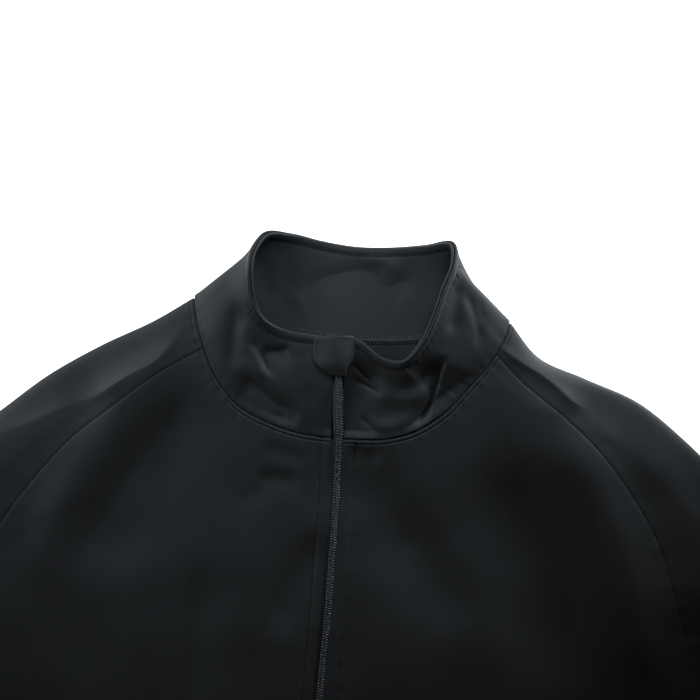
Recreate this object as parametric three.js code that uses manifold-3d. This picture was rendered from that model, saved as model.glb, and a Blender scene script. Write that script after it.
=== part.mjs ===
// Men's zip-front cycling jacket with raglan sleeves and a stand collar, laid on its back on a table.
// Millimetres, +Z up. +Y runs from the hem to the collar, +X to the wearer's left. The underside is z = 0.
// The cloth pieces are those that are cut and sewn: back, two fronts, two sleeves, outer and inner collar, zip guard, and the zip.
import * as THREE from "three";
import Module from "manifold-3d";
import { mergeVertices } from "three/addons/utils/BufferGeometryUtils.js";

// ---------- driving sizes ----------
const CLOTH = 1.2; // wall of the shell cloth
const SEAM = 0.3; // free space between two pieces at a seam
const PLY_GAP = 0.4; // free space between outer and inner collar
const COLLAR_PLIES = 2 * CLOTH + PLY_GAP; // outer and inner collar together
const EDGE_LIFT = 2.5; // height of the cloth's middle where it folds at a sleeve or side edge
const NECK_LIFT = 4.2; // what the fold is higher by at the neck
const NECK_REACH = 60; // how far that lift goes from the neck
const TOP_ROLL = 32; // width of the slope of the upper layer next to the fold along an arm
const SIDE_ROLL = 18; // the same next to a side seam
const UNDER_ROLL = 5; // the same for the layer that lies on the table
const REST_HEIGHT = 3.4; // height of the upper layer at hem and cuffs
const BODY_LIFT = 2.4; // what the upper layer is higher by away from hem and cuffs
const OPEN_REACH = 150; // distance over which it gets there
const TAPE = 0.8; // zip tape thickness
const TAPE_WIDTH = 15; // one side of the zip tape
const COIL_HALF = 2.3; // half width of the closed coil
const COIL_HEIGHT = 1.6;
const SLOT_RIGHT = -5.6; // edge of the wearer's right front, from the zip's middle
const SLOT_LEFT = 2.8; // edge of the wearer's left front
const HEM_Y = -626; // where the zip ends at the hem
const SLIDER = { y: 50.5, length: 10, halfWidth: 3.6, plate: 0.7, post: 0.9, bar: 0.8 }; // zip slider, parked near the collar's top edge
const PULL = { halfWidth: 2.4, thickness: 0.8, eye: 1.15, reach: 11.5 }; // pull tab, turned up
const ORIGIN = { x: -21.975, y: -263.535 }; // middle of the whole part's box, from the foot of the collar's zip

// ---------- tables (x and y from the foot of the collar at the zip) ----------
const rowsOf = (names, rows) => {
  const keys = names.split(" ");
  return rows.map((r) => Object.fromEntries(keys.map((k, i) => [k, r[i]])));
};

// neckline: from the zip over the wearer's right shoulder, across the back and down to the zip again
const NECK_RIGHT = rowsOf("x y", [
  [-4.45, -1], [-28, 1], [-48, 6.5], [-67, 15.5], [-82, 31], [-93, 52], [-98.5, 68], [-102, 84],
]);
const NECK_BACK = rowsOf("x y", [
  [-102, 84], [-84, 76.3], [-60, 70.6], [-30, 66.6], [2, 65.1], [35, 66.2], [64, 70.2], [88, 75.6], [108, 83],
]);
const NECK_LEFT = rowsOf("x y", [
  [3.95, -1], [30, 0.5], [50, 7], [67, 19], [83, 38], [100, 62], [104.5, 72], [108, 83],
]);

// sleeve sections, from the neck to the cuff: front edge, fold along the top of the arm, back edge
const SLEEVE_RIGHT = rowsOf("frontX frontY foldX foldY backX backY", [
  [-93, 52, -102, 84, -84, 76.5],
  [-118, 35.6, -126, 67.5, -112, 52],
  [-147, 11.8, -160, 48.5, -142, 22],
  [-179.1, -17.7, -194, 26, -172, -14],
  [-209.3, -58.4, -222, 2, -202, -56],
  [-232, -105, -262, -33, -228, -104],
  [-250, -160, -310, -73, -248, -162],
  [-266, -232, -362, -116, -266, -232],
  [-314, -272, -412, -160, -314, -272],
  [-362, -312, -460, -207, -362, -312],
  [-409, -353, -505, -256, -409, -353],
  [-456, -395, -547, -307, -456, -395],
  [-502, -437, -590, -359, -502, -437],
  [-548, -479, -633, -412, -548, -479],
]);
const SLEEVE_LEFT = rowsOf("frontX frontY foldX foldY backX backY", [
  [100, 62, 108, 83, 88, 76],
  [118.4, 44.9, 127, 62.5, 116, 52],
  [149.7, 22.7, 160, 50, 146, 22],
  [180.8, -5.3, 196, 37, 176, -14],
  [211.4, -46.2, 228, 15, 206, -56],
  [231, -93, 266, -19, 231, -104],
  [252, -155, 312, -65, 252, -162],
  [270, -232, 362, -118, 270, -232],
  [309, -276, 406, -168, 309, -276],
  [347, -321, 447, -221, 347, -321],
  [385, -366, 486, -276, 385, -366],
  [422, -411, 522, -333, 422, -411],
  [459, -457, 556, -391, 459, -457],
  [495, -503, 589, -450, 495, -503],
]);
const UNDERARM_ROW = 7; // the section at which front and back edge meet

const SIDE_RIGHT = rowsOf("x y", [[-266, -232], [-262, -330], [-258, -430], [-255, -530], [-252, -625]]);
const SIDE_LEFT = rowsOf("x y", [[270, -232], [265, -330], [261, -430], [257, -530], [254, -625]]);
// the back is cut longer than the fronts
const TAIL = rowsOf("x y", [[-252, -625], [-180, -641], [-90, -656], [1, -661], [92, -656], [182, -641], [254, -625]]);
const ZIP_LINE = rowsOf("x y", [
  [-3.3, 66], [-2.6, 50], [-2.1, 40], [-0.4, 20], [1.1, 0], [2, -50], [2, -110], [0.8, -170], [0, -400], [0, HEM_Y],
]);
// zip guard: its outline from top to bottom
const GUARD = rowsOf("y left right", [
  [66.6, -14, 2.2], [64.8, -18.6, 2.3], [60, -20.6, 2.4], [55, -20.6, 2.5], [50, -19.4, 2.6],
  [46.5, -16.4, 2.6], [43.6, -12, 2.5], [41.5, -7.8, 2.2], [40.3, -5, 1.2],
]);

// collar sections: share of the neckline's length, top edge, and how steeply the band leaves the seam and reaches the edge
const COLLAR = rowsOf("share x y z seamLean edgeLean", [
  [0.0, -7.8, 65.5, 14, 10, 0],
  [0.05, -24, 66.2, 14, 14, 0],
  [0.1, -40.5, 68.2, 16, 20, 5],
  [0.15, -53.8, 74.3, 21, 26, 25],
  [0.2, -62.3, 88, 27, 30, 50],
  [0.25, -65, 106, 29, 30, 62],
  [0.29, -63.4, 119.5, 25, 25, 58],
  [0.325, -57.2, 130, 16.5, 8, 40],
  [0.375, -41, 131.5, 8.5, 0, 20],
  [0.4375, -20, 128.5, 4.5, 0, 6],
  [0.5, 2, 126.5, 3.4, 0, 2],
  [0.5625, 25, 127.6, 4.5, 0, 6],
  [0.625, 48, 130.6, 8, 0, 18],
  [0.672, 65, 133, 15, 8, 40],
  [0.712, 66.6, 119, 23, 25, 56],
  [0.75, 62, 104, 26, 30, 60],
  [0.8, 57, 85, 26, 30, 52],
  [0.85, 50.2, 68, 23, 30, 34],
  [0.9, 38.5, 53.6, 20, 26, 20],
  [0.945, 23, 55.6, 16.5, 16, 5],
  [0.975, 10, 64.6, 14.6, 12, 2],
  [1.0, 0.8, 65.5, 14, 10, 0],
]);
const COLLAR_HANDLE = 20; // how far each lean reaches into the band

// largest folds of the upper layer: from one end to the other, sideways bow, reach to each side of the crest, height (a trough is negative)
const FOLDS = rowsOf("x0 y0 x1 y1 bow reachA reachB height", [
  [-112, 42, -245, -24, -6, 9, 16, 4.5], // ridge along the wearer's right shoulder
  [-90, 52, -195, -120, -24, 25, 18, 4.2], // ridge beside the right raglan seam
  [-84, 28, -168, -112, -6.5, 30, 20, -4.0], // trough below it
  [96, 69, 168, 28, 1, 11, 7, 3.5], // ridge at the wearer's left shoulder
  [96, 57, 236, -200, 28, 20, 30, 4.6], // ridge along the left raglan seam
  [90, 4, 166, -158, 10, 26, 34, -3.8], // trough below it
  [186, 28, 254, -130, 16, 20, 24, 2.6], // soft ridge on the left sleeve
  [6, -9, 94, -121, 0, 18, 24, -3.2], // trough under the collar, left of the zip
  [-60, -26, -34, -30, 0, 12, 12, -1.6],
  [-40, -68, -58, -150, -4, 14, 16, -1.8],
  [-196, -190, -96, -330, 14, 18, 26, 3.2], // drapes of the body
  [-150, -360, -70, -520, -10, 20, 24, 2.8],
  [205, -220, 120, -360, -12, 18, 26, 3.4],
  [150, -400, 60, -560, 12, 20, 26, 2.8],
  [-222, -470, -186, -590, 6, 16, 20, 2.4],
  [212, -450, 188, -600, -6, 16, 20, 2.2],
  [-318, -152, -372, -250, 8, 14, 18, 3.4], // sleeves: elbow and forearm
  [-404, -232, -452, -330, -8, 13, 16, 3.2],
  [-505, -330, -520, -420, 6, 12, 14, 2.4],
  [318, -160, 352, -262, -8, 14, 18, 3.4],
  [402, -260, 424, -366, 8, 13, 16, 3.0],
  [486, -372, 484, -456, -5, 12, 14, 2.2],
]);

// ---------- curves and surfaces ----------
// Smooth interpolation of table rows: value at distance t along the columns kx, ky.
function track(rows, kx = "x", ky = "y") {
  const at = [0];
  for (let i = 1; i < rows.length; i++)
    at.push(at[i - 1] + Math.hypot(rows[i][kx] - rows[i - 1][kx], rows[i][ky] - rows[i - 1][ky]));
  return smooth(rows, at);
}
function smooth(rows, at) {
  const n = rows.length;
  const slope = (k, i) => {
    const left = i > 0 ? (rows[i][k] - rows[i - 1][k]) / (at[i] - at[i - 1]) : null;
    const right = i < n - 1 ? (rows[i + 1][k] - rows[i][k]) / (at[i + 1] - at[i]) : null;
    if (left === null) return right;
    if (right === null) return left;
    const a = at[i] - at[i - 1],
      b = at[i + 1] - at[i];
    return (left * b + right * a) / (a + b);
  };
  const value = (k, t) => {
    const s = Math.min(Math.max(t, at[0]), at[n - 1]);
    let i = 0;
    while (i < n - 2 && s > at[i + 1]) i++;
    const h = at[i + 1] - at[i],
      q = (s - at[i]) / h;
    const a = rows[i][k],
      b = rows[i + 1][k],
      m0 = slope(k, i) * h,
      m1 = slope(k, i + 1) * h;
    return (
      a * (2 * q ** 3 - 3 * q * q + 1) + m0 * (q ** 3 - 2 * q * q + q) + b * (3 * q * q - 2 * q ** 3) + m1 * (q ** 3 - q * q)
    );
  };
  return { value, at, length: at[n - 1], point: (t) => ({ x: value("x", t), y: value("y", t) }) };
}
const lerp = (a, b, t) => a + (b - a) * t;
const bump = (t) => t * t * (3 - 2 * t);
const clamp01 = (t) => Math.min(1, Math.max(0, t));

function polyline(curve, step, kx = "x", ky = "y", from = 0, to = curve.length) {
  const n = Math.max(2, Math.ceil((to - from) / step));
  return Array.from({ length: n + 1 }, (_, i) => {
    const t = lerp(from, to, i / n);
    return { x: curve.value(kx, t), y: curve.value(ky, t) };
  });
}
function distanceTo(lines, x, y) {
  let best = Infinity;
  for (const line of lines)
    for (let i = 1; i < line.length; i++) {
      const a = line[i - 1],
        b = line[i],
        dx = b.x - a.x,
        dy = b.y - a.y;
      const t = clamp01(((x - a.x) * dx + (y - a.y) * dy) / (dx * dx + dy * dy));
      best = Math.min(best, Math.hypot(x - a.x - t * dx, y - a.y - t * dy));
    }
  return best;
}

const neckRight = track(NECK_RIGHT),
  neckBack = track(NECK_BACK),
  neckLeft = track(NECK_LEFT);
const sleeveRight = track(SLEEVE_RIGHT, "foldX", "foldY"),
  sleeveLeft = track(SLEEVE_LEFT, "foldX", "foldY");
const sideRight = track(SIDE_RIGHT),
  sideLeft = track(SIDE_LEFT),
  tail = track(TAIL),
  zipLine = track(ZIP_LINE);

// x of the zip's middle at a height
function zipX(y) {
  const i = Math.max(1, ZIP_LINE.findIndex((r) => r.y <= y + 1e-9));
  const a = ZIP_LINE[i - 1],
    b = ZIP_LINE[i];
  const t = clamp01((a.y - y) / (a.y - b.y));
  return lerp(a.x, b.x, bump(t));
}

// Edges at which upper and lower layer meet: folded along the top of the arm, sewn under the arm and at the sides
const ARM_FOLDS = [polyline(sleeveRight, 6, "foldX", "foldY"), polyline(sleeveLeft, 6, "foldX", "foldY")];
const SEWN_EDGES = [
  polyline(sleeveRight, 6, "frontX", "frontY", sleeveRight.at[UNDERARM_ROW]),
  polyline(sleeveLeft, 6, "frontX", "frontY", sleeveLeft.at[UNDERARM_ROW]),
  polyline(sideRight, 8),
  polyline(sideLeft, 8),
];
const cuffOf = (rows) => {
  const r = rows[rows.length - 1];
  return [{ x: r.frontX, y: r.frontY }, { x: r.foldX, y: r.foldY }];
};
const OPEN = [cuffOf(SLEEVE_RIGHT), cuffOf(SLEEVE_LEFT), [{ x: -252, y: -625 }, { x: 254, y: -625 }]];
const NECK = [polyline(neckRight, 6), polyline(neckBack, 8), polyline(neckLeft, 6)];

function foldHeight(x, y) {
  let z = 0;
  for (const f of FOLDS) {
    const dx = f.x1 - f.x0,
      dy = f.y1 - f.y0,
      len = Math.hypot(dx, dy);
    const t = ((x - f.x0) * dx + (y - f.y0) * dy) / (len * len);
    if (t <= 0 || t >= 1) continue;
    const side = (-(x - f.x0) * dy + (y - f.y0) * dx) / len - f.bow * Math.sin(Math.PI * t);
    const reach = side > 0 ? f.reachA : f.reachB;
    z += f.height * Math.sin(Math.PI * t) ** 0.8 * Math.exp(-((side / reach) ** 2));
  }
  return z;
}
const edgeHeight = (x, y) => EDGE_LIFT + NECK_LIFT * Math.exp(-distanceTo(NECK, x, y) / NECK_REACH);
const FOLD_SPLIT = (CLOTH + SEAM) / 2; // half the height between the middles of two layers that are sewn together
const near = (lines, reach, x, y) => (1 - clamp01(distanceTo(lines, x, y) / reach)) ** 2.2;
// middle of the upper layer's cloth
function upper(x, y) {
  const edge = edgeHeight(x, y);
  const open = clamp01(distanceTo(OPEN, x, y) / OPEN_REACH);
  const level = Math.max(
    REST_HEIGHT + BODY_LIFT * bump(open) + 1.1 * (edge - EDGE_LIFT) + foldHeight(x, y) * bump(clamp01(open * 2)),
    REST_HEIGHT,
  );
  return level - (level - edge) * near(ARM_FOLDS, TOP_ROLL, x, y) - (level - edge - FOLD_SPLIT) * near(SEWN_EDGES, SIDE_ROLL, x, y);
}
// middle of the lower layer's cloth
function lower(x, y) {
  const lift = edgeHeight(x, y) - CLOTH / 2;
  return CLOTH / 2 + lift * near(ARM_FOLDS, UNDER_ROLL, x, y) + (lift - FOLD_SPLIT) * near(SEWN_EDGES, UNDER_ROLL, x, y);
}

// Points to each side of a grid of points, and the closed body between them.
function normals(grid) {
  const rows = grid.length,
    cols = grid[0].length;
  return grid.map((row, i) =>
    row.map((_, j) => {
      const a = grid[Math.max(0, i - 1)][j],
        b = grid[Math.min(rows - 1, i + 1)][j],
        c = grid[i][Math.max(0, j - 1)],
        d = grid[i][Math.min(cols - 1, j + 1)];
      return b.clone().sub(a).cross(d.clone().sub(c)).normalize();
    }),
  );
}
// a point with a direction of its own (out) keeps it
const moved = (grid, by) => {
  const n = normals(grid);
  return grid.map((row, i) => row.map((p, j) => p.clone().addScaledVector(p.out || n[i][j], by)));
};
// grid[i][j] with the side that (along i) x (along j) points to as its outside
function sheetBody(grid, thickness = CLOTH) {
  return between(moved(grid, thickness / 2), moved(grid, -thickness / 2));
}
function between(outer, inner) {
  const rows = outer.length,
    cols = outer[0].length,
    position = [],
    index = [];
  for (const g of [outer, inner]) for (const row of g) for (const p of row) position.push(p.x, p.y, p.z);
  const o = (i, j) => i * cols + j,
    n = (i, j) => rows * cols + i * cols + j;
  const quad = (a, b, c, d) => index.push(a, b, c, a, c, d);
  for (let i = 0; i + 1 < rows; i++)
    for (let j = 0; j + 1 < cols; j++) {
      quad(o(i, j), o(i + 1, j), o(i + 1, j + 1), o(i, j + 1));
      quad(n(i, j), n(i, j + 1), n(i + 1, j + 1), n(i + 1, j));
    }
  for (let i = 0; i + 1 < rows; i++) {
    quad(n(i, 0), n(i + 1, 0), o(i + 1, 0), o(i, 0));
    quad(o(i, cols - 1), o(i + 1, cols - 1), n(i + 1, cols - 1), n(i, cols - 1));
  }
  for (let j = 0; j + 1 < cols; j++) {
    quad(o(0, j), o(0, j + 1), n(0, j + 1), n(0, j));
    quad(n(rows - 1, j), n(rows - 1, j + 1), o(rows - 1, j + 1), o(rows - 1, j));
  }
  const g = new THREE.BufferGeometry();
  g.setAttribute("position", new THREE.BufferAttribute(new Float32Array(position), 3));
  g.setIndex(index);
  g.computeVertexNormals();
  return g;
}
const gridOf = (us, vs, f) => us.map((u) => vs.map((v) => f(u, v)));
const steps = (n) => Array.from({ length: n + 1 }, (_, i) => i / n);
const V = (x, y, z) => new THREE.Vector3(x, y, z);

// ---------- pieces ----------
// How far across a panel its columns stand: close together next to folded edges.
const ACROSS_ARM = [0, 0.012, 0.05, 0.13, 0.28, 0.48, 0.68, 0.85, 0.94, 0.985, 1];
const ACROSS_FRONT = [0, 0.06, 0.16, 0.3, 0.45, 0.6, 0.74, 0.86, 0.94, 0.98, 0.994, 1];
const ACROSS_BACK = [0, 0.005, 0.018, 0.05, 0.11, 0.2, 0.32, 0.5, 0.68, 0.8, 0.89, 0.95, 0.982, 0.995, 1];
const SEAM_INSET = SEAM / 2 + 0.05;

// Rows of a sleeve: at each section, and halfway between where the raglan seam is.
const raglanRows = (curve) => {
  const k = curve.at.slice(0, UNDERARM_ROW + 1);
  return k.flatMap((t, i) => (i === 0 ? [t] : [(k[i - 1] + t) / 2, t]));
};
const at2 = (curve, name, t) => ({ x: curve.value(name + "X", t), y: curve.value(name + "Y", t) });
const toward = (a, b, by) => {
  const d = Math.hypot(b.x - a.x, b.y - a.y);
  return { x: a.x + ((b.x - a.x) * by) / d, y: a.y + ((b.y - a.y) * by) / d };
};
// the layers' edges lie flat on one another where they are sewn together
const UP_FACE = () => V(0, 0, 1);
// Direction in the plane from a to b, which a folded edge's wall faces
const facing = (a, b) => V(b.x - a.x, b.y - a.y, 0).normalize();

// A raglan sleeve is one piece folded along the top of the arm: upper layer from the front edge to the fold, lower layer back to the back edge.
function sleeve(curve, sign, head) {
  const rows = [...raglanRows(curve), ...curve.at.slice(UNDERARM_ROW + 1)];
  const grid = rows.map((t) => {
    const bowed = clamp01(1 - t / curve.at[2]);
    const o = at2(curve, "fold", t);
    const raglan = t < curve.at[UNDERARM_ROW] + 1e-6,
      corner = t > curve.at[UNDERARM_ROW] - 1e-6;
    const layer = (name, height, up) => {
      const e = at2(curve, raglan ? name : "front", t),
        from = toward(e, o, SEAM_INSET);
      return ACROSS_ARM.map((q) => {
        const h = head[name](q),
          h0 = head[name](0),
          h1 = head[name](1);
        const x = lerp(from.x, o.x, q) + bowed * (h.x - lerp(h0.x, h1.x, q)),
          y = lerp(from.y, o.y, q) + bowed * (h.y - lerp(h0.y, h1.y, q));
        const p = V(x, y, height(x, y));
        if (q === 0 && corner) {
          p.out = V(0, 0, up);
        }
        if (q === 1) p.out = facing(e, o);
        return p;
      });
    };
    const top = layer("front", upper, 1),
      under = layer("back", lower, -1);
    return [...top, ...under.slice(0, -1).reverse()];
  });
  return sheetBody(sign > 0 ? grid : grid.map((r) => r.slice().reverse()));
}

// Outer edge of front and back: first the raglan seam, then the side seam.
function outerEdge(curve, side, name, sideRows) {
  const edge = raglanRows(curve).map((t) => toward(at2(curve, name, t), at2(curve, "fold", t), -SEAM_INSET));
  const n = edge.length - 1;
  const sidePoints = steps(sideRows)
    .slice(1)
    .map((q) => side.point(q * side.length));
  return { points: [...edge, ...sidePoints], raglan: n };
}

const SIDE_ROWS = 9;
const FRONT_ROWS = steps(2 * UNDERARM_ROW + SIDE_ROWS).map((v) => lerp(NECK_RIGHT[0].y - SEAM_INSET, HEM_Y, v ** 1.25));

// A sleeve's head follows the neckline, on its front and on its back.
const headOf = (neck, onBack) => ({
  front: (q) => neck.point(lerp(neck.at[5], neck.at[7], q)),
  back: (q) => neckBack.point(onBack(q)),
});
// A front reaches from the zip to the raglan seam and the side seam.
function front(neck, sleeveCurve, side, slot, sign) {
  const outer = outerEdge(sleeveCurve, side, "front", SIDE_ROWS);
  const count = outer.points.length,
    neckEnd = neck.at[5];
  const last = outer.points[count - 1];
  const middle = FRONT_ROWS.map((y) => ({ x: zipX(y) + slot, y }));
  const neckLine = ACROSS_FRONT.map((u) => {
    const p = neck.point(u * neckEnd);
    return { x: middle[0].x + p.x - neck.point(0).x, y: p.y - SEAM_INSET };
  });
  // the neckline's ends meet the front edge and the raglan seam exactly
  const miss = { x: outer.points[0].x - neckLine.at(-1).x, y: outer.points[0].y - neckLine.at(-1).y };
  ACROSS_FRONT.forEach((u, j) => {
    neckLine[j].x += miss.x * u;
    neckLine[j].y += miss.y * u;
  });
  const hemLine = ACROSS_FRONT.map((u) => ({ x: lerp(middle.at(-1).x, last.x, u), y: lerp(HEM_Y, last.y, bump(u)) }));
  const c00 = neckLine[0],
    c01 = neckLine.at(-1),
    c10 = hemLine[0],
    c11 = hemLine.at(-1);
  const grid = middle.map((a, i) =>
    ACROSS_FRONT.map((u, j) => {
      const v = i / (count - 1),
        b = outer.points[i];
      const mix = (k) =>
        lerp(a[k], b[k], u) +
        lerp(neckLine[j][k], hemLine[j][k], v) -
        lerp(lerp(c00[k], c01[k], u), lerp(c10[k], c11[k], u), v);
      const p = V(mix("x"), mix("y"), 0);
      p.z = upper(p.x, p.y);
      if (u === 1 && i >= outer.raglan) {
        p.out = UP_FACE();
      }
      return p;
    }),
  );
  return sheetBody(sign > 0 ? grid : grid.map((r) => r.slice().reverse()));
}

function back() {
  const a = outerEdge(sleeveRight, sideRight, "back", 7),
    b = outerEdge(sleeveLeft, sideLeft, "back", 7);
  const count = a.points.length;
  const neckLine = ACROSS_BACK.map((u) => {
    const p = neckBack.point(lerp(neckBack.at[1], neckBack.at[7], u));
    return { x: p.x, y: p.y - SEAM_INSET };
  });
  const c00 = a.points[0],
    c01 = b.points[0],
    c10 = a.points[count - 1],
    c11 = b.points[count - 1];
  const n0 = neckLine[0],
    n1 = neckLine.at(-1);
  ACROSS_BACK.forEach((u, j) => {
    for (const k of ["x", "y"]) neckLine[j][k] += lerp(c00[k] - n0[k], c01[k] - n1[k], u);
  });
  const tailLine = ACROSS_BACK.map((u) => tail.point(u * tail.length));
  const grid = a.points.map((l, i) =>
    ACROSS_BACK.map((u, j) => {
      const v = i / (count - 1),
        r = b.points[i];
      const mix = (k) =>
        lerp(l[k], r[k], u) +
        lerp(neckLine[j][k], tailLine[j][k], v) -
        lerp(lerp(c00[k], c01[k], u), lerp(c10[k], c11[k], u), v);
      const p = V(mix("x"), mix("y"), 0);
      p.z = lower(p.x, p.y);
      if ((u === 0 || u === 1) && i >= a.raglan) {
        p.out = UP_FACE();
      }
      return p;
    }),
  );
  return sheetBody(grid);
}

// The collar's middle surface. share runs round the neckline, s from the seam to the top edge.
const collarRows = smooth(COLLAR, COLLAR.map((r) => r.share));
const neckLength = neckRight.length + neckBack.length + neckLeft.length;
function seamPoint(share) {
  let t = share * neckLength;
  if (t <= neckRight.length) {
    const p = neckRight.point(t);
    return V(p.x, p.y, Math.max(upper(p.x, p.y), COLLAR_PLIES / 2 + 0.1));
  }
  t -= neckRight.length;
  if (t <= neckBack.length) {
    const p = neckBack.point(t);
    return V(p.x, p.y, Math.max(lower(p.x, p.y), COLLAR_PLIES / 2 + 0.1));
  }
  const p = neckLeft.point(neckLeft.length - (t - neckBack.length));
  return V(p.x, p.y, Math.max(upper(p.x, p.y), COLLAR_PLIES / 2 + 0.1));
}
function collarPoint(share, s) {
  const seam = seamPoint(share);
  const rim = V(collarRows.value("x", share), collarRows.value("y", share), collarRows.value("z", share));
  const flat = V(rim.x - seam.x, rim.y - seam.y, 0).normalize();
  const lean = (collarRows.value("seamLean", share) * Math.PI) / 180;
  const ahead = seamPoint(Math.min(1, share + 0.004)).sub(seamPoint(Math.max(0, share - 0.004))).setZ(0).normalize();
  const across = Math.max(0.45, Math.abs(ahead.x * flat.y - ahead.y * flat.x));
  seam.addScaledVector(flat, (SEAM + 0.3 + (COLLAR_PLIES / 2) * Math.sin(lean)) / across);
  const reach = (deg) => {
    const a = (deg * Math.PI) / 180;
    return flat.clone().multiplyScalar(Math.cos(a)).add(V(0, 0, Math.sin(a))).multiplyScalar(COLLAR_HANDLE);
  };
  const a = seam.clone().add(reach(collarRows.value("seamLean", share))),
    b = rim.clone().sub(reach(collarRows.value("edgeLean", share)));
  const q = 1 - s;
  return seam
    .multiplyScalar(q ** 3)
    .addScaledVector(a, 3 * q * q * s)
    .addScaledVector(b, 3 * q * s * s)
    .addScaledVector(rim, s ** 3);
}
const AROUND = [
  0, 0.03, 0.065, 0.1, 0.14, 0.18, 0.215, 0.24, 0.258, 0.272, 0.281, 0.289, 0.3, 0.316, 0.34, 0.375, 0.415, 0.455, 0.5,
  0.545, 0.585, 0.62, 0.65, 0.675, 0.692, 0.704, 0.713, 0.724, 0.74, 0.762, 0.79, 0.82, 0.85, 0.88, 0.91, 0.94, 0.96, 0.978, 1,
];
const UP = [0, 0.12, 0.3, 0.5, 0.7, 0.88, 1];
const collarGrid = gridOf(UP, AROUND, (s, share) => collarPoint(share, s));
const outerFace = moved(collarGrid, COLLAR_PLIES / 2),
  outerBack = moved(collarGrid, PLY_GAP / 2),
  innerFace = moved(collarGrid, -PLY_GAP / 2),
  innerBack = moved(collarGrid, -COLLAR_PLIES / 2);

// ---------- zip ----------
const TAPE_DROP = CLOTH / 2 + 0.42 + TAPE / 2; // the tape's middle lies this far under the front's middle
const COIL_FOOT = TAPE / 2 + 0.45, // heights above the tape's middle
  COIL_TOP = COIL_FOOT + COIL_HEIGHT;
// middle of the tape: under the fronts, and between the collar's ends
const collarEnds = steps(60).map((s) => {
  const a = collarPoint(0, s),
    b = collarPoint(1, s);
  return { y: (a.y + b.y) / 2, z: (a.z + b.z) / 2 };
});
function zipHeight(x, y) {
  const below = upper(x, y) - TAPE_DROP;
  if (y < -6) return below;
  const i = Math.max(1, collarEnds.findIndex((p) => p.y >= y));
  const a = collarEnds[i - 1],
    b = collarEnds[i];
  const above = lerp(a.z, b.z, clamp01((y - a.y) / (b.y - a.y)));
  return lerp(below, above, bump(clamp01((y + 6) / 12)));
}
// A closed tube through rings of points, each ring the same number of points, anticlockwise seen from its end
function tube(rings) {
  const n = rings[0].length,
    position = rings.flat().flatMap((p) => [p.x, p.y, p.z]),
    index = [];
  for (let i = 0; i + 1 < rings.length; i++)
    for (let j = 0; j < n; j++) {
      const a = i * n + j,
        b = i * n + ((j + 1) % n),
        c = a + n,
        d = b + n;
      index.push(a, b, d, a, d, c);
    }
  const e = (rings.length - 1) * n;
  for (let j = 1; j + 1 < n; j++) {
    index.push(0, j + 1, j);
    index.push(e, e + j, e + j + 1);
  }
  const g = new THREE.BufferGeometry();
  g.setAttribute("position", new THREE.BufferAttribute(new Float32Array(position), 3));
  g.setIndex(index);
  g.computeVertexNormals();
  return g;
}
const COLLAR_ROWS = [64.6, 60, 56.5, 52.7, 51.4, 46, 40, 34, 27, 20, 12, 5, 2];
const SEAM_ROWS = [-1.2, -3.2, -6.4];
const BOX = { length: 11, rise: 1 }; // bottom box of the zip
function tape(side) {
  const rows = [...COLLAR_ROWS, ...SEAM_ROWS, ...FRONT_ROWS.filter((y) => y < -8 && y > HEM_Y + BOX.length + 8), HEM_Y + BOX.length + BOX.rise + 0.4];
  const grid = rows.map((y) => {
    const wide = y < -5 ? TAPE_WIDTH : side < 0 ? 4.1 : 2.4;
    const near = y > 52 ? 1.4 : 0.4;
    return [0, 1].map((q) => {
      const x = zipX(y) + side * lerp(near, wide, q);
      return V(x, y, zipHeight(x, y));
    });
  });
  return sheetBody(side > 0 ? grid : grid.map((r) => r.slice().reverse()), TAPE);
}
function coil() {
  const top = SLIDER.y + 1.6,
    rows = [top, ...COLLAR_ROWS.filter((y) => y < top - 0.5), ...SEAM_ROWS, ...FRONT_ROWS.filter((y) => y < -8 && y > HEM_Y + BOX.length + 8), HEM_Y + BOX.length + BOX.rise + 0.4];
  // half width and height shares of the coil's outline
  const outline = [[-1, 0.12], [-0.86, 0], [0.86, 0], [1, 0.12], [1, 0.62], [0.62, 1], [-0.62, 1], [-1, 0.62]];
  const rings = rows.map((y) => {
    const x = zipX(y),
      z = zipHeight(x, y) + COIL_FOOT;
    return outline.map(([u, h]) => V(x + u * COIL_HALF, y, z + h * COIL_HEIGHT));
  });
  return tube(rings);
}

// joins: several closed shapes made into one body
const wasm = await Module();
wasm.setup();
function solid(geometry) {
  geometry.deleteAttribute("normal");
  geometry.deleteAttribute("uv");
  const g = mergeVertices(geometry, 1e-4);
  return new wasm.Manifold(
    new wasm.Mesh({ numProp: 3, vertProperties: new Float32Array(g.getAttribute("position").array), triVerts: new Uint32Array(g.getIndex().array) }),
  );
}
function joined(...geometries) {
  const m = geometries.map(solid).reduce((a, b) => a.add(b)).getMesh();
  const g = new THREE.BufferGeometry();
  g.setAttribute("position", new THREE.BufferAttribute(m.vertProperties, 3));
  g.setIndex(new THREE.BufferAttribute(m.triVerts, 1));
  g.computeVertexNormals();
  return g;
}
const block = (x0, x1, y0, y1, z0, z1) =>
  new THREE.BoxGeometry(x1 - x0, y1 - y0, z1 - z0).translate((x0 + x1) / 2, (y0 + y1) / 2, (z0 + z1) / 2);
const plateOf = (shape, z0, thickness) =>
  new THREE.ExtrudeGeometry(shape, { depth: thickness, bevelEnabled: false, curveSegments: 5 }).translate(0, 0, z0);
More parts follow.
